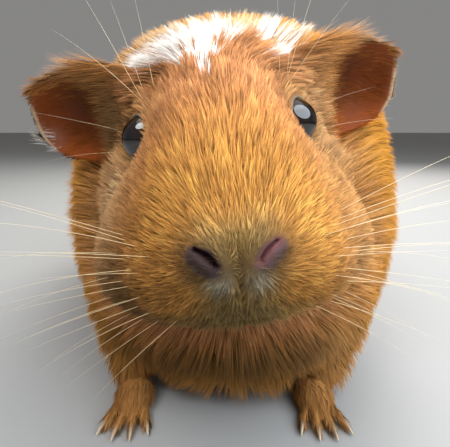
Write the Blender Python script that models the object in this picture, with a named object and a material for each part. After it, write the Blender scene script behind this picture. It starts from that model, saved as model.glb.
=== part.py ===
"""Guinea pig, red with a white crest on the crown, life size, standing on all four feet.

The head is lowered and tipped a little to its own right, the breast swells forward under the chin,
and the hind feet lie flat under the flanks. Every surface is drawn out to the tips of the coat.
The animal looks along -Y, its left side is +X, and the floor is z = 0. Sizes are millimetres in the
tables below and are turned into metres when a mesh is made.
"""

import math

import bmesh
import bpy
import numpy as np
from mathutils import Vector

MM = 0.001
GAP = 0.3                                  # air between two solids that touch

# ---- how the head is carried -------------------------------------------------------------------
NOSE = np.array((-1.1, -131.0, 61.3))      # foremost point of the nose
HEAD_PITCH, HEAD_ROLL, HEAD_YAW = math.radians(13.2), math.radians(6.3), math.radians(1.6)
EAR_OUT, EAR_TALL = 26.0, 29.5             # an ear: root to rim, and along its root
EAR_THICK = 1.7
EYE_RADIUS = 6.2
EYE_AT = np.array((20.5, 45.4, 9.3))       # where the eye breaks the coat, in the head's own axes
EYE_LOOKS = np.array((0.80, -0.50, 0.31))  # the way the eye looks
EYE_SUNK = 3.2                             # eye centre behind that point
AROUND = 32                                # facets around the body

# Each row: place along the axis, top, bottom, half width, height of the widest level, and how
# square the upper and lower halves are (2 is an ellipse).
HEAD_ROWS = (
    (0.0, 1.8, -4.5, 4.6, -1.0, 2.0, 2.0),
    (0.8, 3.8, -8.5, 8.0, -1.5, 2.0, 2.0),
    (2.5, 6.0, -13.0, 10.8, -3.0, 2.1, 2.1),
    (5.0, 8.8, -17.5, 13.3, -5.0, 2.2, 2.3),
    (9.0, 12.4, -21.4, 15.4, -7.0, 2.3, 2.5),
    (15.0, 16.6, -24.6, 17.0, -8.0, 2.3, 2.6),
    (22.0, 20.2, -26.6, 17.8, -8.5, 2.3, 2.6),
    (30.0, 23.2, -28.0, 18.4, -8.5, 2.3, 2.6),
    (40.0, 26.0, -29.0, 19.2, -8.0, 2.3, 2.5),
    (46.0, 27.2, -30.0, 21.2, -7.0, 2.3, 2.4),
    (52.0, 28.2, -31.0, 26.6, -6.0, 2.4, 2.3),
    (60.0, 29.6, -33.0, 32.4, -4.0, 2.4, 2.1),
    (70.0, 30.0, -34.0, 34.5, -3.0, 2.2, 2.0),
    (80.0, 24.0, -28.0, 29.0, -3.0, 2.0, 2.0),
    (87.0, 11.0, -15.0, 13.0, -3.0, 2.0, 2.0),
)
NECK_ROWS = (
    (0.0, 26.0, -24.0, 24.0, 0.0, 2.0, 2.0),
    (3.0, 32.0, -31.0, 32.0, 0.0, 2.1, 2.0),
    (10.0, 38.5, -38.0, 41.0, 0.0, 2.2, 2.1),
    (20.0, 43.8, -43.0, 50.0, 0.0, 2.3, 2.2),
    (28.0, 44.6, -45.0, 53.6, 0.0, 2.3, 2.2),
    (36.0, 43.2, -44.0, 52.0, 0.0, 2.2, 2.2),
    (44.0, 37.0, -38.0, 44.0, 0.0, 2.1, 2.1),
    (50.0, 24.0, -26.0, 28.0, 0.0, 2.0, 2.0),
)
NECK_FROM, NECK_TO = np.array((-3.0, -66.5, 69.0)), np.array((0.0, -18.0, 78.5))
TRUNK_ROWS = (
    (-93.0, 34.0, 18.0, 9.5, 25.0, 2.0, 2.0),
    (-90.5, 48.0, 9.0, 24.3, 27.0, 2.0, 2.1),
    (-84.0, 67.0, 5.0, 38.0, 34.0, 2.0, 2.3),
    (-73.0, 86.0, 5.0, 48.5, 43.0, 2.0, 2.5),
    (-60.0, 104.0, 5.0, 56.0, 51.0, 2.1, 2.5),
    (-45.0, 117.5, 5.5, 60.6, 58.0, 2.2, 2.5),
    (-33.0, 123.0, 5.5, 62.5, 60.0, 2.2, 2.5),
    (-22.0, 124.8, 6.0, 63.0, 61.0, 2.2, 2.5),
    (0.0, 126.0, 6.0, 62.5, 61.0, 2.2, 2.5),
    (25.0, 126.0, 6.0, 62.2, 59.0, 2.2, 2.5),
    (50.0, 123.0, 6.0, 61.6, 56.0, 2.2, 2.5),
    (75.0, 115.5, 6.5, 59.6, 53.0, 2.2, 2.4),
    (95.0, 103.0, 8.0, 55.2, 50.0, 2.2, 2.3),
    (110.0, 88.0, 11.0, 45.8, 47.0, 2.1, 2.2),
    (121.0, 71.0, 17.0, 33.5, 44.0, 2.1, 2.1),
    (128.0, 57.0, 26.0, 19.8, 41.0, 2.0, 2.0),
    (131.0, 46.0, 34.0, 7.3, 40.0, 2.0, 2.0),
)
# Swellings of the head: centre, reach, and push, on one side; the other side mirrors it.
HEAD_SWELLS = (
    ((21.0, 38.0, -13.0), (15.0, 24.0, 17.0), (14.5, 0.0, -3.0)),    # cheek
    ((15.0, 27.0, -21.0), (9.0, 15.0, 9.0), (6.0, 0.0, -1.5)),       # jowl
    ((11.0, 6.0, -9.0), (7.0, 8.0, 8.0), (2.4, -1.4, 0.0)),          # whisker pad
    ((19.0, 52.0, 19.0), (7.0, 8.0, 6.0), (1.5, 0.0, 1.0)),          # brow
    ((0.0, 68.0, 30.0), (22.0, 12.0, 9.0), (0.0, 1.0, 3.0)),         # crest
)
# A leg: points down its middle with the half width and half depth there.
FORELEG = ((34.0, -48.0, 52.0, 13.0, 18.0), (36.0, -57.0, 36.0, 14.0, 17.0), (36.0, -67.0, 20.0, 10.5, 12.5),
           (32.5, -76.0, 10.0, 7.0, 8.0), (30.0, -79.0, 5.0, 5.4, 6.6))
HINDLEG = ((31.0, 74.0, 86.0, 10.0, 12.0), (36.0, 72.0, 70.0, 20.0, 29.0), (42.0, 70.0, 51.0, 23.5, 36.0),
           (42.5, 69.0, 33.0, 22.5, 36.0), (39.5, 71.0, 18.0, 15.0, 25.0), (36.5, 74.5, 9.0, 8.0, 12.0))
# The rim of an ear: how far down the root, and how much of the full reach.
EAR_RIM = ((0.0, 0.66), (0.06, 0.79), (0.15, 0.88), (0.35, 0.97), (0.6, 0.988), (0.8, 0.90), (0.92, 0.73), (1.0, 0.49))
FOREPAW_AT = {"l": (23.5, -84.0, 0.05), "r": (-30.0, -84.0, -0.03)}   # x, y of the palm, turn out (radians)
HINDPAW_AT = {"l": (36.0, 70.0, 0.14), "r": (-36.0, 72.0, -0.14)}
FOREPAW = dict(length=15.0, width=11.5, height=8.0, toes=4, toe_length=7.5, toe_width=3.0, fan=0.30, claw=4.2)
HINDPAW = dict(length=33.0, width=12.5, height=9.0, toes=3, toe_length=10.0, toe_width=3.8, fan=0.22, claw=6.0)


# ---- shape tools -------------------------------------------------------------------------------
def curve(rows, at):
    """Smooth rows of numbers between their places without overshoot."""
    rows = np.asarray(rows, float)
    x, y = rows[:, 0], rows[:, 1:]
    step = np.diff(x)[:, None]
    slope = np.diff(y, axis=0) / step
    a, b = slope[:-1], slope[1:]
    mid = np.where(a * b > 0, 2 * a * b / np.where(a + b == 0, 1, a + b), 0.0)
    m = np.vstack((slope[:1], mid, slope[-1:]))
    at = np.asarray(at, float)
    i = np.clip(np.searchsorted(x, at, "right") - 1, 0, len(x) - 2)
    t = ((at - x[i]) / np.diff(x)[i])[:, None]
    h = step[i]
    return ((2 * t**3 - 3 * t**2 + 1) * y[i] + (t**3 - 2 * t**2 + t) * h * m[i]
            + (3 * t**2 - 2 * t**3) * y[i + 1] + (t**3 - t**2) * h * m[i + 1])


def section_rings(rows, stations, around):
    """Closed sections (x, along, up) with a flatter or rounder top and bottom."""
    top, bottom, half, level, up_square, down_square = curve(rows, stations).T[:, :, None]
    turn = np.linspace(0, 2 * math.pi, around, endpoint=False)[None, :]
    c, s = np.cos(turn), np.sin(turn)
    power = np.where(s >= 0, up_square, down_square)
    x = half * np.sign(c) * np.abs(c) ** (2 / power)
    reach = np.where(s >= 0, top - level, level - bottom)
    z = level + reach * np.sign(s) * np.abs(s) ** (2 / power)
    y = np.broadcast_to(np.asarray(stations, float)[:, None], x.shape)
    return np.stack((x, y, z), -1)


def swell(points, swells):
    """Push points out by each swelling and its mirror image, fading as a bell."""
    base = points.copy()
    for centre, reach, push in swells:
        for side in ((1.0, -1.0) if centre[0] else (1.0,)):
            mirror = np.array((side, 1.0, 1.0))
            far = (base - np.array(centre) * mirror) / np.array(reach)
            points = points + np.exp(-(far**2).sum(-1, keepdims=True)) * np.array(push) * mirror
    return points


def head_turn():
    """The turn from the head's own axes (x, back, up) to the room's."""
    cp, sp = math.cos(HEAD_PITCH), math.sin(HEAD_PITCH)
    cr, sr = math.cos(HEAD_ROLL), math.sin(HEAD_ROLL)
    cy, sy = math.cos(HEAD_YAW), math.sin(HEAD_YAW)
    pitch = np.array(((1, 0, 0), (0, cp, -sp), (0, sp, cp)))
    roll = np.array(((cr, 0, -sr), (0, 1, 0), (sr, 0, cr)))
    yaw = np.array(((cy, -sy, 0), (sy, cy, 0), (0, 0, 1)))
    return yaw @ roll @ pitch


def head_to_room(points):
    return np.asarray(points) @ head_turn().T + NOSE


def limb_rings(path, around, tip=0.35):
    """Sections across a bent path with half width and half depth, rounded off at both ends."""
    path = np.asarray(path, float)
    steps = np.concatenate(((0.0,), np.cumsum(np.linalg.norm(np.diff(path[:, :3], axis=0), axis=1))))
    at = np.linspace(0, steps[-1], 9)
    rows = curve(np.column_stack((steps, path)), at)
    ahead = np.gradient(rows[:, :3], axis=0)
    ahead /= np.linalg.norm(ahead, axis=1, keepdims=True)
    side = np.cross(ahead, np.array((0.0, 1.0, 0.0)))
    side /= np.linalg.norm(side, axis=1, keepdims=True)
    deep = np.cross(side, ahead)
    turn = np.linspace(0, 2 * math.pi, around, endpoint=False)
    ring = (rows[:, None, 3:4] * np.cos(turn)[None, :, None] * side[:, None]
            + rows[:, None, 4:5] * np.sin(turn)[None, :, None] * deep[:, None])
    rings = rows[:, None, :3] + ring
    first = rows[0, :3] + ring[0] * 0.6 - ahead[0] * rows[0, 3] * tip
    last = rows[-1, :3] + ring[-1] * 0.6 + ahead[-1] * rows[-1, 3] * tip
    return np.concatenate((first[None], rings, last[None]))


# ---- meshes ------------------------------------------------------------------------------------
def add_object(name, points, faces, group, material=None, grow=0.0):
    """One closed mesh facing outwards, in metres; grow pushes it out along its normals."""
    mesh = bpy.data.meshes.new(name)
    mesh.from_pydata((np.asarray(points) * MM).tolist(), [], faces)
    work = bmesh.new()
    work.from_mesh(mesh)
    bmesh.ops.recalc_face_normals(work, faces=work.faces)
    if work.calc_volume(signed=True) < 0:
        bmesh.ops.reverse_faces(work, faces=work.faces)
    bmesh.ops.triangulate(work, faces=[f for f in work.faces if len(f.verts) > 4])
    if grow:
        work.normal_update()
        for vert in work.verts:
            vert.co += vert.normal * grow * MM
    work.to_mesh(mesh)
    work.free()
    obj = bpy.data.objects.new(name, mesh)
    group.objects.link(obj)
    if material is not None:
        mesh.materials.append(material)
    return obj


def ring_faces(rings, around):
    """Quads between rings, and a fan to a pole at each end (the two last points)."""
    faces = []
    for i in range(rings - 1):
        for j in range(around):
            k = (j + 1) % around
            faces.append((i * around + j, i * around + k, (i + 1) * around + k, (i + 1) * around + j))
    first, last = rings * around, rings * around + 1
    for j in range(around):
        k = (j + 1) % around
        faces.append((first, k, j))
        faces.append((last, (rings - 1) * around + j, (rings - 1) * around + k))
    return faces


def loft(name, rings, group, material=None, grow=0.0):
    rings = np.asarray(rings, float)
    count, around = rings.shape[:2]
    points = np.concatenate((rings.reshape(-1, 3), rings[0].mean(0)[None], rings[-1].mean(0)[None]))
    return add_object(name, points, ring_faces(count, around), group, material, grow)


def ball(name, centre, radii, group, material=None, turn=None, around=20, grow=0.0):
    """An ellipsoid; turn is a 3x3 array."""
    polar = np.linspace(0, math.pi, around // 2 + 1)[1:-1]
    ring = np.linspace(0, 2 * math.pi, around, endpoint=False)
    unit = np.stack((np.sin(polar)[:, None] * np.cos(ring), np.sin(polar)[:, None] * np.sin(ring),
                     np.broadcast_to(np.cos(polar)[:, None], (len(polar), around))), -1)
    points = unit * np.asarray(radii, float)
    poles = np.array(((0, 0, 1.0), (0, 0, -1.0))) * np.asarray(radii, float)
    points = np.concatenate((points.reshape(-1, 3), poles))
    if turn is not None:
        points = points @ np.asarray(turn).T
    return add_object(name, points + np.asarray(centre), ring_faces(len(polar), around), group, material, grow)


def boolean(obj, other, kind="DIFFERENCE"):
    step = obj.modifiers.new(other.name, "BOOLEAN")
    step.operation, step.solver, step.object = kind, "EXACT", other
    other.hide_render = True
    other.display_type = "WIRE"


def finish(name, colour, rough):
    material = bpy.data.materials.new(name)
    material.use_nodes = True
    shader = material.node_tree.nodes["Principled BSDF"]
    shader.inputs["Base Color"].default_value = (*colour, 1.0)
    shader.inputs["Roughness"].default_value = rough
    return material


# ---- the animal --------------------------------------------------------------------------------
def head_rings(around=AROUND):
    stations = np.array((0, 0.8, 2.5, 5, 8, 11, 15, 19, 23, 27, 31, 35, 39, 43, 47, 51, 55, 60, 65, 70, 76, 82, 87))
    return head_to_room(swell(section_rings(HEAD_ROWS, stations, around), HEAD_SWELLS))


def neck_rings(around=30):
    stations = np.array((0, 3, 7, 13, 20, 28, 36, 44.0, 50.0))
    local = section_rings(NECK_ROWS, stations, around)
    ahead = (NECK_TO - NECK_FROM) / np.linalg.norm(NECK_TO - NECK_FROM)
    side = np.cross(ahead, np.array((0.0, 0.0, 1.0)))
    side /= np.linalg.norm(side)
    up = np.cross(side, ahead)
    return NECK_FROM + local @ np.stack((side, ahead, up))


def trunk_rings(around=AROUND):
    stations = np.array((-93, -91.5, -88, -84, -79, -73, -66, -58, -49, -38, -25, -12, 0, 12, 25, 38, 50, 62, 74, 85,
                         95, 104, 112, 119, 125, 129, 131.0))
    return section_rings(TRUNK_ROWS, stations, around)


def ear_solid(side, group, material):
    """A drooping petal: a cupped sheet whose rim runs from the top root round to the lower root."""
    sign = 1.0 if side == "l" else -1.0
    out = np.array((0.94, 0.26, -0.04))
    down = np.array((0.10, 0.16, -0.98))
    out /= np.linalg.norm(out)
    down -= out * down.dot(out)
    down /= np.linalg.norm(down)
    face = np.cross(down, out)                   # the hollow side looks forward and out
    across, along = 10, 8
    u = np.linspace(0.0, 1.0, across)[:, None]   # down the root
    v = np.linspace(0.0, 1.0, along)[None, :]    # from the root to the rim
    rim = EAR_OUT * curve(EAR_RIM, u[:, 0])
    reach = rim * v
    fall = EAR_TALL * (u - 0.42) * (1 - 0.16 * v) + 1.0 * v**2
    cup = -5.0 * np.sin(math.pi * u) * np.sin(math.pi * v) + 1.2 * v**3 * (1 - u) ** 2
    middle = reach[..., None] * out + fall[..., None] * down + cup[..., None] * face
    thick = EAR_THICK * (1.25 - 0.5 * v) * (0.75 + 0.25 * np.sin(math.pi * u))
    front = middle + 0.5 * thick[..., None] * face
    back = middle - 0.5 * thick[..., None] * face
    root = np.array((28.0, 60.5, 15.2))
    points = np.concatenate((front.reshape(-1, 3), back.reshape(-1, 3))) + root
    points[:, 0] *= sign
    n = across * along
    faces = []
    for i in range(across - 1):
        for j in range(along - 1):
            a, b, c, d = i * along + j, (i + 1) * along + j, (i + 1) * along + j + 1, i * along + j + 1
            faces += [(a, b, c, d), (n + d, n + c, n + b, n + a)]
    edge = [i * along for i in range(across)] + [(across - 1) * along + j for j in range(1, along)]
    edge += [i * along + along - 1 for i in range(across - 2, -1, -1)] + list(range(along - 2, 0, -1))
    for k, a in enumerate(edge):
        b = edge[(k + 1) % len(edge)]
        faces.append((b, a, n + a, n + b))
    return add_object(f"ear_{side}", head_to_room(points), faces, group, material)


def toe_axes(paw, at, sign):
    """Root and direction of every toe of a paw, on the floor."""
    x, y, turn = at
    ends = []
    for i in range(paw["toes"]):
        spread = (i - (paw["toes"] - 1) / 2) / max(1, (paw["toes"] - 1) / 2)
        angle = turn + spread * paw["fan"]
        reach = paw["toe_length"] * (1.0 - 0.13 * abs(spread))
        base = np.array((x + math.sin(turn) * paw["length"] / 2 + spread * paw["width"] * 0.34,
                         y - paw["length"] * (0.40 - 0.10 * abs(spread)), paw["toe_width"] * 0.5))
        ahead = np.array((math.sin(angle), -math.cos(angle), 0.0))
        ends.append((base, ahead, reach))
    return ends


def paw_solid(name, paw, at, group, cutters, material):
    """Palm or sole with toes joined to it, all cut flat on the floor, and slightly larger forms of each."""
    x, y, turn = at
    c, s = math.cos(turn), math.sin(turn)
    turned = np.array(((c, -s, 0), (s, c, 0), (0, 0, 1.0)))
    shape = (x, y, paw["height"] * 0.40), (paw["width"] / 2, paw["length"] / 2, paw["height"] * 0.62)
    palm = ball(name, *shape, group, material, turned, 14)
    forms = [ball(f"{name}_form", *shape, cutters, None, turned, 14, GAP)]
    for i, (base, ahead, reach) in enumerate(toe_axes(paw, at, 1)):
        half = paw["toe_width"] / 2
        side = np.array((-ahead[1], ahead[0], 0.0))
        along = np.array((-0.35, 0.0, 0.45, 0.80, 0.96)) * reach
        wide = np.array((0.7, 1.0, 0.95, 0.9, 0.55)) * half
        lift = np.array((0.7, 0.6, 0.30, 0.05, -0.05)) * half
        turns = np.linspace(0, 2 * math.pi, 8, endpoint=False)
        rings = (base + along[:, None, None] * ahead + wide[:, None, None] * np.cos(turns)[None, :, None] * side
                 + (lift[:, None] + wide[:, None] * 1.05 * np.sin(turns)[None, :])[..., None] * np.array((0, 0, 1.0)))
        boolean(palm, loft(f"{name}_toe_{i + 1}", rings, cutters), "UNION")
        forms.append(loft(f"{name}_toe_{i + 1}_form", rings, cutters, grow=GAP))
    slab = bpy.data.objects["below_floor"]
    boolean(palm, slab)
    return palm, forms


def claw_solid(name, base, ahead, reach, length, group, material):
    """A small curved horn just beyond the toe's end."""
    side = np.array((-ahead[1], ahead[0], 0.0))
    up = np.array((0, 0, 1.0))
    t = np.array((0.0, 0.35, 0.7, 1.0))
    along = reach * 0.96 + GAP + t * length
    radius = np.array((0.75, 0.66, 0.46, 0.16)) * (length / 5.0) ** 0.5
    height = 1.45 - 0.10 + np.array((0.25, 0.30, -0.05, -0.75)) * length / 5.0
    turns = np.linspace(0, 2 * math.pi, 6, endpoint=False)
    flat = np.array((base[0], base[1], 0.0))
    rings = (flat + along[:, None, None] * ahead + radius[:, None, None] * np.cos(turns)[None, :, None] * side
             + (height[:, None] + radius[:, None] * 1.2 * np.sin(turns)[None, :])[..., None] * up)
    return loft(name, rings, group, material)


def box(name, low, high, group):
    low, high = np.asarray(low, float), np.asarray(high, float)
    corners = [[(low, high)[i][0], (low, high)[j][1], (low, high)[k][2]]
               for i in (0, 1) for j in (0, 1) for k in (0, 1)]
    faces = [(0, 1, 3, 2), (4, 6, 7, 5), (0, 4, 5, 1), (2, 3, 7, 6), (0, 2, 6, 4), (1, 5, 7, 3)]
    return add_object(name, corners, faces, group)


def build():
    for obj in list(bpy.data.objects):
        bpy.data.objects.remove(obj, do_unlink=True)
    body = bpy.data.collections.new("guinea_pig")
    cutters = bpy.data.collections.new("cutters")
    cutters.hide_render = True
    for group in (body, cutters):
        bpy.context.scene.collection.children.link(group)

    red = finish("red_coat", (0.46, 0.19, 0.055), 0.75)
    ear_red = finish("ear_skin", (0.30, 0.13, 0.065), 0.6)
    paw_skin = finish("foot_coat", (0.38, 0.17, 0.07), 0.7)
    eye_black = finish("eye", (0.012, 0.008, 0.007), 0.06)
    horn = finish("claw", (0.34, 0.24, 0.17), 0.4)

    box("below_floor", (-90, -160, -30), (90, 160, 0.0), cutters)
    trunk_grown = loft("trunk_form", trunk_rings(), cutters, grow=GAP)
    loft("trunk", trunk_rings(), body, red)

    neck = loft("neck", neck_rings(), body, red)
    boolean(neck, trunk_grown)
    neck_grown = loft("neck_form", neck_rings(), cutters, grow=GAP)

    torso_form = loft("torso_form", trunk_rings(), cutters, grow=GAP)
    boolean(torso_form, neck_grown, "UNION")

    head = loft("head", head_rings(), body, red)
    boolean(head, torso_form)
    head_grown = loft("head_form", head_rings(), cutters, grow=GAP)

    looks = EYE_LOOKS / np.linalg.norm(EYE_LOOKS)
    for side, sign in (("l", 1.0), ("r", -1.0)):
        mirror = np.array((sign, 1.0, 1.0))
        centre = head_to_room((EYE_AT - looks * EYE_SUNK) * mirror)
        ball(f"eye_{side}", centre, (EYE_RADIUS,) * 3, body, eye_black, None, 16)
        boolean(head, ball(f"socket_{side}", centre, (EYE_RADIUS + GAP,) * 3, cutters, None, None, 16))
        ear = ear_solid(side, body, ear_red)
        boolean(ear, head_grown)
        boolean(ear, trunk_grown)
        nostril = head_to_room(np.array((5.2, 0.6, 0.4)) * mirror)
        tilt = head_turn() @ np.array(((0.9, 0, -0.44 * sign), (0, 1, 0), (0.44 * sign, 0, 0.9)))
        boolean(head, ball(f"nostril_{side}", nostril, (2.3, 2.2, 0.8), cutters, None, tilt, 12))
        cleft_out = head_to_room(np.array((5.0, 3.2, -17.6)) * mirror)
        boolean(head, ball(f"mouth_{side}", cleft_out, (6.5, 3.4, 0.55), cutters, None, tilt, 12))

        for leg, path, paw, places in (("fore", FORELEG, FOREPAW, FOREPAW_AT), ("hind", HINDLEG, HINDPAW, HINDPAW_AT)):
            at = places[side]
            shifted = np.array(path) * np.array((sign, 1, 1, 1, 1))
            slide = np.linspace(0, 1, len(path)) ** 2
            shifted[:, 0] += (at[0] - shifted[-1, 0]) * slide
            name = f"{leg}paw_{side}"
            paw_obj, forms = paw_solid(name, paw, at, body, cutters, paw_skin)
            limb = loft(f"{leg}leg_{side}", limb_rings(shifted, 18), body, red)
            for form in (trunk_grown, forms[0]):
                boolean(limb, form)
            boolean(paw_obj, trunk_grown)
            for i, (base, ahead, reach) in enumerate(toe_axes(paw, at, 1)):
                claw_solid(f"claw_{leg}_{side}_{i + 1}", base, ahead, reach, paw["claw"], body, horn)


build()
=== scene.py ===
"""Looks of the guinea pig: one skin with folds and lids, a coat of fine tufts, eyes, claws and whiskers.

Sizes inside the classes are millimetres in the room's axes (the animal looks along -y, its left is +x)
or in the head's own axes (x to its left, s back from the nose, h up), and become metres in a mesh.
"""

import logging
import math
from dataclasses import dataclass, field
from enum import Enum
from typing import Any, Callable, Sequence

import bmesh
import bpy
import numpy as np
from numpy.typing import NDArray
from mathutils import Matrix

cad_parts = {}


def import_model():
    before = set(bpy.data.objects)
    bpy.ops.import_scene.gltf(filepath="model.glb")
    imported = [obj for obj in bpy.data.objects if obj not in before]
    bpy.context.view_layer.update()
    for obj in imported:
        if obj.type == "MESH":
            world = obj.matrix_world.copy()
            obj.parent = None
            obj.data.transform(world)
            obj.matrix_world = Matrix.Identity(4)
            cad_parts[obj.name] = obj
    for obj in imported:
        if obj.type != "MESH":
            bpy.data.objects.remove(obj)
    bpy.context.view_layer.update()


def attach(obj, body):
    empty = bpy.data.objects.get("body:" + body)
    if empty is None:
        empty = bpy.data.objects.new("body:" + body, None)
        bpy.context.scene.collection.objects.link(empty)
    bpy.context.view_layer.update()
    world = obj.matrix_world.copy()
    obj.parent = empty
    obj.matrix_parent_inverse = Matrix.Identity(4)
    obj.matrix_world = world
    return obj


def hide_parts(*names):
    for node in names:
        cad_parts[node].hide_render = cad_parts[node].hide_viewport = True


Array = NDArray[np.float64]
Rows = tuple[tuple[float, ...], ...]
Cover = Callable[[dict[str, Array]], NDArray[np.bool_]]
MM = 0.001
TINT = "tint"
FLESH = ["head", "neck", "trunk",
         *(f"{part}_{side}" for part in ("ear", "foreleg", "hindleg", "forepaw", "hindpaw") for side in "lr")]
LOG = logging.getLogger("guinea_pig")


class Side(Enum):
    """The animal's own left or right, as the sign of x."""

    LEFT = 1.0
    RIGHT = -1.0

    @property
    def mirror(self) -> Array:
        """Factors that carry places on the left to this side."""
        return np.array((self.value, 1.0, 1.0))

    @property
    def letter(self) -> str:
        """How a node's name marks this side."""
        return self.name[0].lower()


# ---------------------------------------------------------------------------------------------
# arithmetic on whole arrays


def unit(v: Array) -> Array:
    """Vectors divided by their length.

    Args:
        v: vectors along the last axis.
    Returns:
        The same vectors at length one.
    """
    return v / np.maximum(np.linalg.norm(v, axis=-1, keepdims=True), 1e-9)


def ramp(x: Array, low: float, high: float) -> Array:
    """A soft step: 3t^2 - 2t^3, where t goes from 0 at low to 1 at high.

    Args:
        x: values.
        low: where the step starts.
        high: where it ends.
    Returns:
        Numbers from 0 to 1.
    """
    t = np.clip((x - low) / (high - low), 0.0, 1.0)
    return t * t * (3.0 - 2.0 * t)


def bell(points: Array, centre: Sequence[float], reach: Sequence[float]) -> Array:
    """A soft blob: exp(-sum(((p - centre) / reach)^2)).

    Args:
        points: places, three numbers each.
        centre: the blob's middle.
        reach: how far it fades along each axis.
    Returns:
        Numbers from 0 to 1.
    """
    return np.exp(-(((points - np.asarray(centre)) / np.asarray(reach)) ** 2).sum(-1))


def waves(points: Array, size: float, seed: int) -> Array:
    """Smooth noise: a sum of sines along nine random directions, about -1 to 1.

    Args:
        points: places, three numbers each.
        size: rough distance between bumps.
        seed: which noise.
    Returns:
        One number per place.
    """
    rng = np.random.default_rng(seed)
    ways = rng.normal(size=(9, 3))
    ways = unit(ways) * rng.uniform(0.6, 1.5, (9, 1)) * 2 * math.pi / (2.2 * size)
    return np.sin(points @ ways.T + rng.uniform(0, 2 * math.pi, 9)).sum(-1) / 4.2


def clumps(points: Array, size: float, seed: int) -> NDArray[np.int64]:
    """Uneven cells: each place goes to the nearest of one shifted point per cube of a grid.

    Args:
        points: places, three numbers each.
        size: side of a cube.
        seed: which cells.
    Returns:
        A cell number per place, counted from 0.
    """
    cube = np.floor(points / size).astype(np.int64)
    mix = np.array(((127.1, 269.5, 419.2), (311.7, 183.3, 371.9), (74.7, 246.1, 124.6)))
    best, mine = np.full(len(points), np.inf), np.zeros(len(points), np.int64)
    for offset in np.ndindex(3, 3, 3):
        near = cube + np.array(offset) - 1
        shift = np.sin(near @ mix + seed) * 43758.5453
        gap = (((near + shift - np.floor(shift)) * size - points) ** 2).sum(-1)
        mine = np.where(gap < best, (near + 512) @ np.array((1 << 20, 1 << 10, 1)), mine)
        best = np.minimum(gap, best)
    return np.unique(mine, return_inverse=True)[1].reshape(-1)


def curve(rows: Sequence[Sequence[float]], at: Array) -> Array:
    """Rows of numbers joined by cubics that don't overshoot (monotone Hermite).

    Args:
        rows: place, then the numbers there.
        at: places wanted.
    Returns:
        The numbers at each place.
    """
    table = np.asarray(rows, float)
    x, y = table[:, 0], table[:, 1:]
    step = np.diff(x)[:, None]
    slope = np.diff(y, axis=0) / step
    a, b = slope[:-1], slope[1:]
    mid = np.where(a * b > 0, 2 * a * b / np.where(a + b == 0, 1, a + b), 0.0)
    m = np.vstack((slope[:1], mid, slope[-1:]))
    at = np.asarray(at, float)
    i = np.clip(np.searchsorted(x, at, "right") - 1, 0, len(x) - 2)
    t = ((at - x[i]) / np.diff(x)[i])[:, None]
    h = step[i]
    return ((2 * t**3 - 3 * t**2 + 1) * y[i] + (t**3 - 2 * t**2 + t) * h * m[i]
            + (3 * t**2 - 2 * t**3) * y[i + 1] + (t**3 - t**2) * h * m[i + 1])


def held(rows: Rows, at: Array) -> Array:
    """A curve's numbers, held at its first and last rows beyond its ends."""
    return curve(rows, np.clip(at, rows[0][0], rows[-1][0]))


def full_turn(count: int) -> Array:
    """Equal steps of angle once round, the last a step short of the first."""
    return np.linspace(0, 2 * math.pi, count, endpoint=False)


def folded(head: Array) -> Array:
    """Head-axis places with the right half laid on the left."""
    return np.column_stack((np.abs(head[:, 0]), head[:, 1:]))


def grid_faces(rows: int, around: int, first: int = 0) -> NDArray[np.int64]:
    """Quads of a grid whose columns close round.

    Args:
        rows: rings in the grid.
        around: points in a ring.
        first: number of the grid's first point.
    Returns:
        Four point numbers per face.
    """
    i, j = np.meshgrid(np.arange(rows - 1), np.arange(around), indexing="ij")
    k = (j + 1) % around
    corners = (i * around + j, i * around + k, (i + 1) * around + k, (i + 1) * around + j)
    return first + np.stack(corners, -1).reshape(-1, 4)


def grid_normals(grid: Array) -> Array:
    """Normals of a grid whose columns close round: the cross of its two central differences.

    Args:
        grid: rings by points by three.
    Returns:
        Outward unit normals, on the side away from each ring's middle.
    """
    along = np.gradient(grid, axis=0)
    round_ = np.roll(grid, -1, 1) - np.roll(grid, 1, 1)
    n = unit(np.cross(round_, along))
    away = grid - grid.mean(1, keepdims=True)
    return n * np.sign((n * away).sum((1, 2), keepdims=True) + 1e-12)


def floor_tube(base: Array, ahead: Array, along: Array, wide: Array, high: Array,
               tall: float, lowest: float, around: int) -> Array:
    """Rings of a level tube: across by the width's cosine, up by the height plus tall times the width's sine.

    Args:
        base: where it starts.
        ahead: its level direction.
        along: each ring's distance from the base.
        wide: each ring's half width.
        high: each ring's height above the base.
        tall: half height over half width.
        lowest: the level that nothing goes below.
        around: points in a ring.
    Returns:
        Rings by points by three.
    """
    side, turn = np.array((-ahead[1], ahead[0], 0.0)), full_turn(around)
    rings = (base + along[:, None, None] * ahead + wide[:, None, None] * np.cos(turn)[None, :, None] * side
             + (high[:, None] + wide[:, None] * tall * np.sin(turn)[None, :])[..., None] * np.array((0, 0, 1.0)))
    rings[..., 2] = np.maximum(rings[..., 2], lowest)
    return rings


# ---------------------------------------------------------------------------------------------
# meshes


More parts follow.
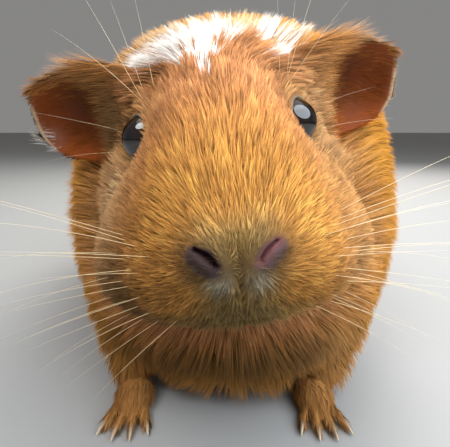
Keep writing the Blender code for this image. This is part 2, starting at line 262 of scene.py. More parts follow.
@dataclass
class Patchwork:
    """Points and faces gathered from several closed surfaces."""

    points: list[Array] = field(default_factory=list)
    quads: list[NDArray[np.int64]] = field(default_factory=list)
    tris: list[NDArray[np.int64]] = field(default_factory=list)
    count: int = 0

    def add_tube(self, grid: Array) -> None:
        """Adds a closed tube: quads between rings and a fan of triangles to a pole at each end.

        Args:
            grid: rings by points by three.
        """
        rows, around = grid.shape[:2]
        base = self.count
        self.points += [grid.reshape(-1, 3), grid[0].mean(0)[None], grid[-1].mean(0)[None]]
        self.quads.append(grid_faces(rows, around, base))
        j = np.arange(around)
        k = (j + 1) % around
        last = base + (rows - 1) * around
        pole = base + rows * around
        self.tris.append(np.stack((np.full(around, pole), base + k, base + j), -1))
        self.tris.append(np.stack((np.full(around, pole + 1), last + j, last + k), -1))
        self.count += rows * around + 2

    def mesh(self, name: str) -> bpy.types.Mesh:
        """The gathered surfaces as one mesh in metres, facing outwards."""
        made = make_mesh(name, np.concatenate(self.points), np.concatenate(self.quads), np.concatenate(self.tris))
        face_outwards(made)
        return made


NO_QUADS, NO_TRIS = np.zeros((0, 4), np.int64), np.zeros((0, 3), np.int64)


def make_mesh(name: str, points: Array, quads: NDArray[np.int64] = NO_QUADS, tris: NDArray[np.int64] = NO_TRIS,
              normals: Array | None = None) -> bpy.types.Mesh:
    """A smoothly shaded mesh from whole arrays.

    Args:
        name: the mesh's name.
        points: places in millimetres.
        quads: four point numbers per face.
        tris: three point numbers per face.
        normals: shading normals per point, where the faces' own aren't wanted.
    Returns:
        The mesh, in metres.
    """
    mesh = bpy.data.meshes.new(name)
    loops = np.concatenate((quads.ravel(), tris.ravel())).astype(np.int32)
    sizes = np.concatenate((np.full(len(quads), 4), np.full(len(tris), 3))).astype(np.int32)
    mesh.vertices.add(len(points))
    mesh.vertices.foreach_set("co", (points * MM).astype(np.float32).ravel())
    mesh.loops.add(len(loops))
    mesh.loops.foreach_set("vertex_index", loops)
    mesh.polygons.add(len(sizes))
    mesh.polygons.foreach_set("loop_start", np.concatenate(((0,), np.cumsum(sizes)[:-1])).astype(np.int32))
    mesh.polygons.foreach_set("use_smooth", np.ones(len(sizes), bool))
    if normals is not None:
        add_vectors(mesh, "custom_normal", normals)
    mesh.update(calc_edges=True)
    return mesh


def face_outwards(mesh: bpy.types.Mesh) -> None:
    """Turns every face of a closed mesh outwards."""
    work = bmesh.new()
    work.from_mesh(mesh)
    bmesh.ops.recalc_face_normals(work, faces=work.faces)
    work.to_mesh(mesh)
    work.free()


def move_points(mesh: bpy.types.Mesh, points: Array) -> None:
    """Puts a mesh's points at new places, given in millimetres."""
    mesh.vertices.foreach_set("co", (points * MM).astype(np.float32).ravel())
    mesh.update()


def read_mesh(mesh: bpy.types.Mesh) -> tuple[Array, Array, NDArray[np.int64]]:
    """Points and point normals (millimetres) and triangles of a mesh.

    Args:
        mesh: any mesh.
    Returns:
        Points, normals, and three point numbers per triangle.
    """
    points = np.empty(len(mesh.vertices) * 3, np.float32)
    mesh.vertices.foreach_get("co", points)
    normals = np.empty(len(mesh.vertices) * 3, np.float32)
    mesh.vertices.foreach_get("normal", normals)
    mesh.calc_loop_triangles()
    tris = np.empty(len(mesh.loop_triangles) * 3, np.int32)
    mesh.loop_triangles.foreach_get("vertices", tris)
    return (points.reshape(-1, 3).astype(float) / MM, normals.reshape(-1, 3).astype(float),
            tris.reshape(-1, 3).astype(np.int64))


def add_vectors(mesh: bpy.types.Mesh, name: str, vectors: Array) -> None:
    """Stores one vector per point as an attribute."""
    layer = mesh.attributes.new(name, "FLOAT_VECTOR", "POINT")
    layer.data.foreach_set("vector", vectors.astype(np.float32).ravel())


def paint(mesh: bpy.types.Mesh, colours: Array) -> None:
    """Stores one colour per point as the attribute that the finishes read.

    Args:
        mesh: the mesh.
        colours: red, green, blue per point.
    """
    layer = mesh.color_attributes.new(TINT, "FLOAT_COLOR", "POINT")
    full = np.ones((len(colours), 4), np.float32)
    full[:, :3] = colours
    layer.data.foreach_set("color", full.ravel())


def link(name: str, data: Any) -> bpy.types.Object:
    """A new object in the scene that shows a mesh, light or camera."""
    obj = bpy.data.objects.new(name, data)
    bpy.context.scene.collection.objects.link(obj)
    return obj


def dress(obj: bpy.types.Object, finish: bpy.types.Material) -> bpy.types.Object:
    """Gives a piece its finish and lets it ride with the animal.

    Args:
        obj: the piece, its mesh already in place.
        finish: its material.
    Returns:
        The same object.
    """
    obj.data.materials.clear()
    obj.data.materials.append(finish)
    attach(obj, "root")
    return obj


# ---------------------------------------------------------------------------------------------
# the body's outer form


@dataclass(frozen=True)
class HeadPose:
    """How the head is carried: its nose point and its pitch, roll and yaw in degrees."""

    nose: tuple[float, float, float] = (-1.1, -131.0, 61.3)
    pitch: float = 13.2
    roll: float = 6.3
    yaw: float = 1.6

    def turn(self) -> Array:
        """The turn from head axes to room axes: yaw times roll times pitch."""
        (cp, sp), (cr, sr), (cy, sy) = (
            (math.cos(math.radians(a)), math.sin(math.radians(a))) for a in (self.pitch, self.roll, self.yaw))
        pitch = np.array(((1, 0, 0), (0, cp, -sp), (0, sp, cp)))
        roll = np.array(((cr, 0, -sr), (0, 1, 0), (sr, 0, cr)))
        yaw = np.array(((cy, -sy, 0), (sy, cy, 0), (0, 0, 1)))
        return yaw @ roll @ pitch

    def to_room(self, points: Any) -> Array:
        """Places in head axes as places in the room."""
        return np.asarray(points, float) @ self.turn().T + np.array(self.nose)

    def to_head(self, points: Array) -> Array:
        """Places in the room as places in head axes."""
        return (points - np.array(self.nose)) @ self.turn()

    def way(self, vector: Any) -> Array:
        """A direction in head axes as a direction in the room."""
        return np.asarray(vector, float) @ self.turn().T


@dataclass(frozen=True)
class Loft:
    """Sections along an axis: place, top, bottom, half width, widest level, upper and lower squareness."""

    rows: Rows

    def surface(self, stations: Array, around: int) -> Array:
        """Superellipse sections: x = w cos^(2/n), h = level + reach sin^(2/n).

        Args:
            stations: places along the axis.
            around: points in a section.
        Returns:
            Rings of (x, along, up).
        """
        top, bottom, half, level, up_sq, down_sq = curve(self.rows, stations).T[:, :, None]
        turn = full_turn(around)[None, :]
        c, s = np.cos(turn), np.sin(turn)
        power = np.where(s >= 0, up_sq, down_sq)
        x = half * np.sign(c) * np.abs(c) ** (2 / power)
        z = level + np.where(s >= 0, top - level, level - bottom) * np.sign(s) * np.abs(s) ** (2 / power)
        return np.stack((x, np.broadcast_to(stations[:, None], x.shape), z), -1)


@dataclass(frozen=True)
class Form:
    """The animal's outer form, out to the tips of the coat: the same named sizes as its solids."""

    pose: HeadPose = HeadPose()
    head: Loft = Loft((
        (0.0, 1.8, -4.5, 4.6, -1.0, 2.0, 2.0), (0.8, 3.8, -8.5, 8.0, -1.5, 2.0, 2.0),
        (2.5, 6.0, -13.0, 10.8, -3.0, 2.1, 2.1), (5.0, 8.8, -17.5, 13.3, -5.0, 2.2, 2.3),
        (9.0, 12.4, -21.4, 15.4, -7.0, 2.3, 2.5), (15.0, 16.6, -24.6, 17.0, -8.0, 2.3, 2.6),
        (22.0, 20.2, -26.6, 17.8, -8.5, 2.3, 2.6), (30.0, 23.2, -28.0, 18.4, -8.5, 2.3, 2.6),
        (40.0, 26.0, -29.0, 19.2, -8.0, 2.3, 2.5), (46.0, 27.2, -30.0, 21.2, -7.0, 2.3, 2.4),
        (52.0, 28.2, -31.0, 26.6, -6.0, 2.4, 2.3), (60.0, 29.6, -33.0, 32.4, -4.0, 2.4, 2.1),
        (70.0, 30.0, -34.0, 34.5, -3.0, 2.2, 2.0), (80.0, 24.0, -28.0, 29.0, -3.0, 2.0, 2.0),
        (87.0, 11.0, -15.0, 13.0, -3.0, 2.0, 2.0)))
    neck: Loft = Loft((
        (0.0, 26.0, -24.0, 24.0, 0.0, 2.0, 2.0), (3.0, 32.0, -31.0, 32.0, 0.0, 2.1, 2.0),
        (10.0, 38.5, -38.0, 41.0, 0.0, 2.2, 2.1), (20.0, 43.8, -43.0, 50.0, 0.0, 2.3, 2.2),
        (28.0, 44.6, -45.0, 53.6, 0.0, 2.3, 2.2), (36.0, 43.2, -44.0, 52.0, 0.0, 2.2, 2.2),
        (44.0, 37.0, -38.0, 44.0, 0.0, 2.1, 2.1), (50.0, 24.0, -26.0, 28.0, 0.0, 2.0, 2.0)))
    neck_from: tuple[float, float, float] = (-3.0, -66.5, 69.0)
    neck_to: tuple[float, float, float] = (0.0, -18.0, 78.5)
    trunk: Loft = Loft((
        (-93.0, 34.0, 18.0, 9.5, 25.0, 2.0, 2.0), (-90.5, 48.0, 9.0, 24.3, 27.0, 2.0, 2.1),
        (-84.0, 67.0, 5.0, 38.0, 34.0, 2.0, 2.3), (-73.0, 86.0, 5.0, 48.5, 43.0, 2.0, 2.5),
        (-60.0, 104.0, 5.0, 56.0, 51.0, 2.1, 2.5), (-45.0, 117.5, 5.5, 60.6, 58.0, 2.2, 2.5),
        (-33.0, 123.0, 5.5, 62.5, 60.0, 2.2, 2.5), (-22.0, 124.8, 6.0, 63.0, 61.0, 2.2, 2.5),
        (0.0, 126.0, 6.0, 62.5, 61.0, 2.2, 2.5), (25.0, 126.0, 6.0, 62.2, 59.0, 2.2, 2.5),
        (50.0, 123.0, 6.0, 61.6, 56.0, 2.2, 2.5), (75.0, 115.5, 6.5, 59.6, 53.0, 2.2, 2.4),
        (95.0, 103.0, 8.0, 55.2, 50.0, 2.2, 2.3), (110.0, 88.0, 11.0, 45.8, 47.0, 2.1, 2.2),
        (121.0, 71.0, 17.0, 33.5, 44.0, 2.1, 2.1), (128.0, 57.0, 26.0, 19.8, 41.0, 2.0, 2.0),
        (131.0, 46.0, 34.0, 7.3, 40.0, 2.0, 2.0)))
    swells: tuple[tuple[tuple[float, ...], tuple[float, ...], tuple[float, ...]], ...] = (
        ((21.0, 38.0, -13.0), (15.0, 24.0, 17.0), (14.5, 0.0, -3.0)),
        ((15.0, 27.0, -21.0), (9.0, 15.0, 9.0), (6.0, 0.0, -1.5)),
        ((11.0, 6.0, -9.0), (7.0, 8.0, 8.0), (2.4, -1.4, 0.0)),
        ((19.0, 52.0, 19.0), (7.0, 8.0, 6.0), (1.5, 0.0, 1.0)),
        ((0.0, 68.0, 30.0), (22.0, 12.0, 9.0), (0.0, 1.0, 3.0)))
    foreleg: tuple[tuple[float, ...], ...] = (
        (34.0, -48.0, 52.0, 13.0, 18.0), (36.0, -57.0, 36.0, 14.0, 17.0), (36.0, -67.0, 20.0, 10.5, 12.5),
        (32.5, -76.0, 10.0, 7.0, 8.0), (30.0, -79.0, 5.0, 5.4, 6.6))
    hindleg: tuple[tuple[float, ...], ...] = (
        (31.0, 74.0, 86.0, 10.0, 12.0), (36.0, 72.0, 70.0, 20.0, 29.0), (42.0, 70.0, 51.0, 23.5, 36.0),
        (42.5, 69.0, 33.0, 22.5, 36.0), (39.5, 71.0, 18.0, 15.0, 25.0), (36.5, 74.5, 9.0, 8.0, 12.0))
    forepaw_at: tuple[tuple[float, float, float], ...] = ((23.5, -84.0, 0.05), (-30.0, -84.0, -0.03))
    hindpaw_at: tuple[tuple[float, float, float], ...] = ((36.0, 70.0, 0.14), (-36.0, 72.0, -0.14))
    slit: tuple[tuple[float, float], tuple[float, float]] = ((3.5, -1.7), (6.4, 1.1))
    eye_at: tuple[float, float, float] = (20.5, 45.4, 9.3)
    eye_looks: tuple[float, float, float] = (0.80, -0.50, 0.31)
    eye_radius: float = 6.2
    eye_sunk: float = 3.2

    def swell(self, points: Array) -> Array:
        """Pushes head-axis points out by bell-shaped swellings, both sides alike."""
        out = points.copy()
        for centre, reach, push in self.swells:
            for side in Side if centre[0] else (Side.LEFT,):
                out += bell(points, np.array(centre) * side.mirror, reach)[..., None] * np.array(push) * side.mirror
        return out

    def head_stations(self, rows: int) -> Array:
        """Places of the head's rings, crowded towards the nose."""
        return self.head.rows[-1][0] * np.linspace(0, 1, rows) ** 1.5

    def head_surface(self, rows: int, around: int) -> Array:
        """The head in head axes."""
        return self.swell(self.head.surface(self.head_stations(rows), around))

    def neck_surface(self, rows: int, around: int) -> Array:
        """The neck in the room, along the line between its two ends."""
        start, end = np.array(self.neck_from), np.array(self.neck_to)
        ahead = unit(end - start)
        side = unit(np.cross(ahead, (0.0, 0.0, 1.0)))
        stations = np.linspace(0, self.neck.rows[-1][0], rows)
        return start + self.neck.surface(stations, around) @ np.stack((side, ahead, np.cross(side, ahead)))

    def nostril(self, head: Array) -> tuple[Array, Array, Array]:
        """Where places lie about the nostril's slit on their side.

        Args:
            head: places in head axes.
        Returns:
            Distance from the slit, share of the way along it, and distance below the line through it.
        """
        a, b = np.array(self.slit)
        ab = b - a
        d = np.stack((np.abs(head[:, 0]), head[:, 2]), -1) - a
        along, below = d @ ab / (ab @ ab), (d[:, 0] * ab[1] - d[:, 1] * ab[0]) / math.hypot(*ab)
        t = np.clip(along, 0, 1)
        below = below + 0.35 * np.sin(math.pi * t)
        return np.hypot(below, (along - t) * math.hypot(*ab)), along, below

    def eye_frame(self, side: Side) -> tuple[Array, Array, Array, Array]:
        """An eye's centre and its outward, upward and forward directions, in the room."""
        looks = unit(np.array(self.eye_looks))
        centre = self.pose.to_room((np.array(self.eye_at) - looks * self.eye_sunk) * side.mirror)
        out = self.pose.way(looks * side.mirror)
        up = self.pose.way((0.0, 0.12, 1.0))
        up = unit(up - out * (up @ out))
        return centre, out, up, np.cross(up, out) * side.value


@dataclass(frozen=True)
class Limb:
    """Elliptical sections across a bent path of (x, y, z, half width, half depth)."""

    path: tuple[tuple[float, ...], ...]

    def surface(self, side: Side, foot_x: float, rows: int, around: int, inset: Callable[[Array], Array]) -> Array:
        """Rings round the path, drawn in by the coat's depth.

        Args:
            side: which leg.
            foot_x: where the foot stands, which the path slides to.
            rows: rings.
            around: points in a ring.
            inset: how deep the coat is along the path, from 0 at the top to 1 at the foot.
        Returns:
            Rings in the room.
        """
        table = np.array(self.path) * np.array((side.value, 1, 1, 1, 1))
        table[:, 0] += (foot_x - table[-1, 0]) * np.linspace(0, 1, len(table)) ** 2
        steps = np.concatenate(((0.0,), np.cumsum(np.linalg.norm(np.diff(table[:, :3], axis=0), axis=1))))
        at = np.linspace(0, steps[-1], rows)
        found = curve(np.column_stack((steps, table)), at)
        ahead = unit(np.gradient(found[:, :3], axis=0))
        across = unit(np.cross(ahead, (0.0, 1.0, 0.0)))
        deep = np.cross(across, ahead)
        depth = inset(at / steps[-1])
        wide, long_ = found[:, 3] - depth, found[:, 4] - depth
        turn = full_turn(around)
        ring = (wide[:, None, None] * np.cos(turn)[None, :, None] * across[:, None]
                + long_[:, None, None] * np.sin(turn)[None, :, None] * deep[:, None])
        return found[:, None, :3] + ring


@dataclass(frozen=True)
class Paw:
    """A foot: sizes of its sole, toes and claws; a toe's rows are place, share of its length, half width, level."""

    length: float
    width: float
    height: float
    toes: int
    toe_length: float
    toe_width: float
    fan: float
    claw: float
    toe_rows: Rows = (
        (0.0, -0.35, 0.7, 0.7), (0.3, 0.0, 1.0, 0.6), (0.6, 0.45, 0.88, 0.34), (0.85, 0.80, 0.94, 0.06),
        (0.96, 0.93, 0.72, -0.02), (1.0, 0.97, 0.35, -0.05))

    def toe_axes(self, at: tuple[float, float, float]) -> list[tuple[Array, Array, float]]:
        """Root, direction and length of each toe."""
        x, y, turn = at
        found = []
        for i in range(self.toes):
            spread = (i - (self.toes - 1) / 2) / max(1.0, (self.toes - 1) / 2)
            angle = turn + spread * self.fan
            base = np.array((x + math.sin(turn) * self.length / 2 + spread * self.width * 0.34,
                             y - self.length * (0.40 - 0.10 * abs(spread)), self.toe_width * 0.5))
            ahead = np.array((math.sin(angle), -math.cos(angle), 0.0))
            found.append((base, ahead, self.toe_length * (1.0 - 0.13 * abs(spread))))
        return found

    def add_to(self, work: Patchwork, at: tuple[float, float, float], trim: float) -> None:
        """Adds the sole, half an ellipsoid's height above the floor, and the toes, drawn in by trim.

        Args:
            work: where the surfaces are gathered.
            at: x, y and turn of the paw.
            trim: depth of the short hair.
        """
        x, y, turn = at
        polar, ring = np.linspace(0.04, math.pi - 0.04, 40)[:, None], full_turn(48)
        half = np.array((self.width / 2, self.length / 2, self.height * 0.62)) - trim
        ball = np.stack((np.sin(polar) * np.cos(ring), np.sin(polar) * np.sin(ring), np.cos(polar) + 0 * ring), -1)
        c, s = math.cos(turn), math.sin(turn)
        sole = (ball * half) @ np.array(((c, s, 0), (-s, c, 0), (0, 0, 1.0))) + np.array((x, y, self.height * 0.40))
        sole[..., 2] = np.maximum(sole[..., 2], 0.0)
        work.add_tube(sole)
        rows = curve(self.toe_rows, np.linspace(0, 1, 24)) * self.toe_width / 2
        wide = np.maximum(rows[:, 1] - trim * 0.6, 0.2)
        for base, ahead, reach in self.toe_axes(at):
            along = rows[:, 0] * reach / (self.toe_width / 2)
            work.add_tube(floor_tube(base, ahead, along, wide, rows[:, 2], 1.05, 0.0, 28))


FOREPAW = Paw(15.0, 11.5, 8.0, 4, 7.5, 3.0, 0.30, 4.2)
HINDPAW = Paw(33.0, 12.5, 9.0, 3, 10.0, 3.8, 0.22, 6.0)


@dataclass(frozen=True)
class Ear:
    """A drooping petal: a cupped sheet from its root to its rim, in head axes."""

    reach: float = 26.0
    tall: float = 29.5
    above: float = 0.42
    thick: float = 1.7
    root: tuple[float, float, float] = (28.0, 60.5, 15.2)
    out: tuple[float, float, float] = (0.94, 0.26, -0.04)
    down: tuple[float, float, float] = (0.10, 0.16, -0.98)
    rim: Rows = (
        (0.0, 0.66), (0.06, 0.79), (0.15, 0.88), (0.35, 0.97), (0.6, 0.988), (0.8, 0.90), (0.92, 0.73), (1.0, 0.49))
    tuft_at: tuple[float, float] = (23.2, 8.5)

    def axes(self) -> Array:
        """Rows: away from the head, down the root, and out of the hollow side."""
        out = unit(np.array(self.out))
        down = np.array(self.down)
        down = unit(down - out * (down @ out))
        return np.stack((out, down, np.cross(down, out)))

    def own(self, head: Array, side: Side) -> Array:
        """Head-axis places as (away, down, hollow) distances from the root."""
        return (head * side.mirror - np.array(self.root)) @ self.axes().T

    def past_rim(self, own: Array) -> Array:
        """How far places lie away from the root beyond the rim at their height, below 0 inside it."""
        return own[:, 0] - self.reach * curve(self.rim, np.clip(own[:, 1] / self.tall + self.above, 0, 1))[:, 0]

    def surface(self, side: Side, sunk: float = 0.0) -> Array:
        """The closed petal as a tube: front and back sheets joined round the rim.

        Args:
            side: which ear.
            sunk: share of its reach by which it runs on into the head.
        Returns:
            Rings in head axes, one for each step down the root.
        """
        across, along = 60, 40
        u = np.linspace(0.012, 0.988, across)[:, None]
        v = np.linspace(-sunk, 1.0, along + int(40 * sunk))[None, :]
        outer = np.maximum(v, 0.0)
        rim = self.reach * curve(self.rim, u[:, 0])
        fall = self.tall * (u - self.above) * (1 - 0.16 * outer) + 1.0 * outer**2
        cup = -5.0 * np.sin(math.pi * u) * np.sin(math.pi * outer) + 1.2 * outer**3 * (1 - u) ** 2
        cup = cup + 0.5 * np.sin(7.0 * u + 2.0 * v) * outer * (1 - outer) * 2.0
        thick = (self.thick * (1.15 - 0.42 * outer) * (0.8 + 0.2 * np.sin(math.pi * u))
                 * np.sqrt(np.clip(1 - np.clip((v - 0.86) / 0.14, 0, 1) ** 2, 0.03, 1)))
        out, down, face = self.axes()
        middle = (rim * v)[..., None] * out + fall[..., None] * down + cup[..., None] * face
        front = middle + 0.5 * thick[..., None] * face
        back = middle - 0.5 * thick[..., None] * face
        return (np.concatenate((front, back[:, ::-1]), 1) + np.array(self.root)) * side.mirror


# ---------------------------------------------------------------------------------------------
# the skin


@dataclass
class Web:
    """A triangle mesh as arrays, with each point's neighbours ready for averaging."""

    points: Array
    normals: Array
    tris: NDArray[np.int64]
    edges: NDArray[np.int64] = field(init=False)
    degree: Array = field(init=False)

    def __post_init__(self) -> None:
        """Finds the edges once."""
        pairs = np.sort(np.concatenate((self.tris[:, :2], self.tris[:, 1:], self.tris[:, ::2])), axis=1)
        self.edges = np.unique(pairs, axis=0)
        self.degree = np.maximum(np.bincount(self.edges.ravel(), minlength=len(self.points)), 1).astype(float)

    def average(self, values: Array) -> Array:
        """Each point's mean of its neighbours' values.

        Args:
            values: one row per point.
        Returns:
            One row per point.
        """
        a, b = self.edges.T
        flat = values.reshape(len(values), -1)
        total = np.stack([np.bincount(a, flat[b, k], len(flat)) + np.bincount(b, flat[a, k], len(flat))
                          for k in range(flat.shape[1])], -1)
        return (total / self.degree[:, None]).reshape(values.shape)

    def smooth(self, values: Array, rounds: int, weight: Any = 0.5) -> Array:
        """Moves each value part of the way to its neighbours' mean, several times.

        Args:
            values: one row per point.
            rounds: how many times.
            weight: share of the way, one number or one per point.
        Returns:
            The smoothed values.
        """
        for _ in range(rounds):
            values = values + weight * (self.average(values) - values)
        return values


@dataclass
class Skin:
    """The skin under the coat: the outer form drawn in by the coat's depth, made one closed surface."""

    form: Form
    coarse: float = 1.45
    fine: float = 0.62
    head_depth: Rows = ((0.0, 0.3), (12.0, 1.1), (30.0, 2.0), (50.0, 2.6), (66.0, 3.4), (87.0, 3.6))
    neck_depth: float = 4.2
    trunk_depth: float = 4.3
    belly_less: float = 1.6
    forelimb_depth: tuple[float, float] = (2.6, 0.8)
    hindlimb_depth: tuple[float, float] = (4.2, 1.0)
    paw_trim: float = 0.45
    eye_opening: tuple[float, float] = (5.35, 5.15)
    ear: Ear = Ear()

    def remeshed(self, work: Patchwork, name: str, voxel: float) -> bpy.types.Object:
        """Gathered closed surfaces fused into one by a voxel remesh.

        Args:
            work: the surfaces.
            name: the object's name.
            voxel: size of a voxel.
        Returns:
            An object with the fused mesh.
        """
        obj = link(name, work.mesh(name))
        remesh = obj.modifiers.new("fuse", "REMESH")
        remesh.mode, remesh.voxel_size = "VOXEL", voxel * MM
        self.apply(obj)
        return obj

    @staticmethod
    def apply(obj: bpy.types.Object) -> None:
        """Makes an object's modifiers part of its mesh."""
        graph = bpy.context.evaluated_depsgraph_get()
        made = bpy.data.meshes.new_from_object(obj.evaluated_get(graph))
        obj.modifiers.clear()
        old, obj.data = obj.data, made
        bpy.data.meshes.remove(old)

    def body(self) -> Patchwork:
        """Head, neck, trunk and legs, each moved in along its normals by the coat's depth."""
        form, work = self.form, Patchwork()
        head = form.head_surface(150, 128)
        depth = curve(self.head_depth, form.head_stations(150))[:, :, None]
        work.add_tube(form.pose.to_room(head - grid_normals(head) * depth))
        neck = form.neck_surface(60, 110)
        work.add_tube(neck - grid_normals(neck) * self.neck_depth)
        start, end = form.trunk.rows[0][0], form.trunk.rows[-1][0]
        stations = start + (end - start) * (0.5 - 0.5 * np.cos(np.linspace(0, math.pi, 170)))
        trunk = form.trunk.surface(stations, 160)
        way = grid_normals(trunk)
        trunk = trunk - way * (self.trunk_depth - self.belly_less * ramp(-way[..., 2:], 0.2, 0.8))
        trunk[..., 1] = np.clip(trunk[..., 1], start + self.trunk_depth, end - self.trunk_depth)
        work.add_tube(trunk)
        for side, fore, hind in zip(Side, form.forepaw_at, form.hindpaw_at):
            for path, foot, (top, low) in ((form.foreleg, fore, self.forelimb_depth),
                                           (form.hindleg, hind, self.hindlimb_depth)):
                work.add_tube(Limb(path).surface(side, foot[0], 60, 64, lambda t, a=top, b=low: a + (b - a) * t))
        return work

    def paws(self) -> Patchwork:
        """The four feet with their toes."""
        work = Patchwork()
        for paw, places in ((FOREPAW, self.form.forepaw_at), (HINDPAW, self.form.hindpaw_at)):
            for at in places:
                paw.add_to(work, at, self.paw_trim)
        return work

    def build(self) -> bpy.types.Object:
        """Fuses body, paws and ears, then smooths, refines and carves the face.

        Returns:
            The skin's object.
        """
        skin = self.remeshed(self.body(), "skin", self.coarse)
        ears = Patchwork()
        for side in Side:
            ears.add_tube(self.form.pose.to_room(self.ear.surface(side, 0.45)))
        others = [self.remeshed(self.paws(), "feet", self.fine), link("petals", ears.mesh("petals"))]
        for other in others:
            join = skin.modifiers.new("join", "BOOLEAN")
            join.operation, join.solver, join.object = "UNION", "MANIFOLD", other
        self.apply(skin)
        for other in others:
            bpy.data.objects.remove(other)
        LOG.info("skin fused: %d points", len(skin.data.vertices))
        self.soften(skin.data)
        self.refine(skin.data)
        self.carve(skin.data)
        return skin

    def ear_nearness(self, points: Array) -> Array:
        """How much a place belongs to an ear: 1 on its petal, 0 from 2.8 mm off it or at its root.

        Args:
            points: places in the room.
        Returns:
            Numbers from 0 to 1.
        """
        head = self.form.pose.to_head(points)
        near = np.zeros(len(points))
        for side in Side:
            petal = self.ear.surface(side)[::3, ::3].reshape(-1, 3)
            own = self.ear.own(head, side)
            away, down, out = own.T
            box = np.where((away > 1.0) & (away < 32) & (np.abs(down) < 28) & (np.abs(out) < 14))[0]
            for part in np.array_split(box, max(1, len(box) // 4000)):
                gap = np.sqrt(((head[part][:, None] - petal[None]) ** 2).sum(-1).min(1))
                near[part] = np.maximum(near[part], (1 - ramp(gap, 1.6, 2.8)) * ramp(away[part], 1.5, 4.5))
        return near

    def soften(self, mesh: bpy.types.Mesh) -> None:
        """Rounds the joins: thick parts a lot, the face a little, ears and toes least."""
        web = Web(*read_mesh(mesh))
        points = web.points
        head = self.form.pose.to_head(points)
        face = (1 - ramp(head[:, 1], 30, 62)) * ramp(head[:, 2], -44, -34)
        paw = 1 - ramp(points[:, 2], 7, 14)
        keep = np.clip(np.maximum(self.ear_nearness(points), np.maximum(0.9 * paw, 0.86 * face)), 0, 1)
        points = web.smooth(points, 34, (0.55 * (1 - keep))[:, None])
        points = web.smooth(points, 2, 0.35 * (1 - 0.85 * self.ear_nearness(points))[:, None])
        points[:, 2] = np.maximum(points[:, 2], 0.02)
        move_points(mesh, points)

    def refine(self, mesh: bpy.types.Mesh) -> None:
        """Splits the faces round the nose, mouth and eyes twice, and makes all faces triangles."""
        work = bmesh.new()
        work.from_mesh(mesh)
        eyes = [self.form.eye_frame(side)[0] for side in Side]
        for nose_reach, eye_reach in ((1.0, 13.5), (0.62, 13.5 * 0.72)):
            work.edges.ensure_lookup_table()
            middle = np.array([(*e.verts[0].co, *e.verts[1].co) for e in work.edges]).reshape(-1, 2, 3).mean(1) / MM
            head = self.form.pose.to_head(middle)
            nose = ((np.abs(head[:, 0]) < 13 * nose_reach) & (head[:, 1] < 13 * nose_reach)
                    & (head[:, 2] > -26 * nose_reach) & (head[:, 2] < 7))
            near = nose | np.any([np.linalg.norm(middle - e, axis=1) < eye_reach for e in eyes], axis=0)
            chosen = [e for e, is_near in zip(work.edges, near) if is_near]
            bmesh.ops.subdivide_edges(work, edges=chosen, cuts=1, use_grid_fill=True)
        bmesh.ops.triangulate(work, faces=work.faces)
        bmesh.ops.recalc_face_normals(work, faces=work.faces)
        work.to_mesh(mesh)
        work.free()
        mesh.polygons.foreach_set("use_smooth", np.ones(len(mesh.polygons), bool))

    def eye_shape(self, points: Array, side: Side) -> tuple[Array, Array, Array]:
        """Where places lie about an eye, whose opening is an ellipse drawn out at its two corners.

        Args:
            points: places in the room.
            side: which eye.
        Returns:
            Distance from the eye's axis over the opening's radius there, that distance, and height along
            the axis.
        """
        centre, out, up, front = self.form.eye_frame(side)
        d = points - centre
        high, a, b = d @ out, d @ front, d @ up
        rho, turn = np.hypot(a, b), np.arctan2(b, a)
        wide, tall = self.eye_opening
        opening = 1.0 / np.sqrt((np.cos(turn) / wide) ** 2 + (np.sin(turn) / tall) ** 2)
        corner = np.exp(-((turn + 0.35) / 0.34) ** 2)
        opening = opening + 0.75 * corner + 0.3 * np.exp(-((np.abs(turn) - math.pi) / 0.4) ** 2)
        return np.where(high > -8.0, rho / opening, 9.0), rho, high

    def carve(self, mesh: bpy.types.Mesh) -> None:
        """Lids rise over each eyeball and dip inside its opening; nostrils, lip groove and mouth are cut in."""
        points, _, _ = read_mesh(mesh)
        for side in Side:
            k, rho, high = self.eye_shape(points, side)
            lid = 3.15 + 0.45 * np.exp(-((k - 1.07) / 0.075) ** 2) - 0.30 * np.maximum(rho - 5.6, 0)
            lid = lid - 5.5 * (1 - ramp(k, 0.90, 1.0))
            rise = (lid - high) * (1 - ramp(rho, 6.4, 12.0)) * (high > -7)
            points = points + rise[:, None] * self.form.eye_frame(side)[1]
        head = self.form.pose.to_head(points)
        x, s, h = np.abs(head[:, 0]), head[:, 1], head[:, 2]
        front, to_left = 1 - ramp(s, 5.5, 9.0), ramp(head[:, 0], -2, 2)
        gap, t, _ = self.form.nostril(head)
        wide = (0.26 + 0.22 * np.sin(math.pi * np.clip(t, 0.05, 0.95))) * (1 - 0.30 * to_left)
        push = (2.0 - 0.9 * to_left) * np.exp(-((gap / wide) ** 2)) * front
        push -= 0.25 * np.exp(-(((gap - 1.3) / 0.8) ** 2)) * front
        push += 0.75 * np.exp(-((x / 0.75) ** 2)) * ramp(-h, 2.6, 4.5) * (1 - ramp(-h, 15, 18)) * front
        push += 0.5 * np.exp(-((x / 1.6) ** 2)) * bell(np.stack((x, h), -1), (0, -1.0), (2.0, 2.4)) * front
        lips, under = np.exp(-((self.mouth(x, h) / 0.7) ** 2)), self.under_nose(s, h)
        head[:, 1] += push
        head[:, 2] += 1.1 * lips * under
        head[:, 1] += 1.3 * lips * under
        move_points(mesh, self.form.pose.to_room(head))

    @staticmethod
    def mouth(x: Array, h: Array) -> Array:
        """Height above the mouth's line, which bows down at its corners with the square of x."""
        return h + 16.4 + 0.012 * x**2

    @staticmethod
    def under_nose(s: Array, h: Array) -> Array:
        """1 on the front of the face below the nose, and 0 behind the corners of the mouth."""
        return (1 - ramp(s, 11, 17)) * (h < -8)

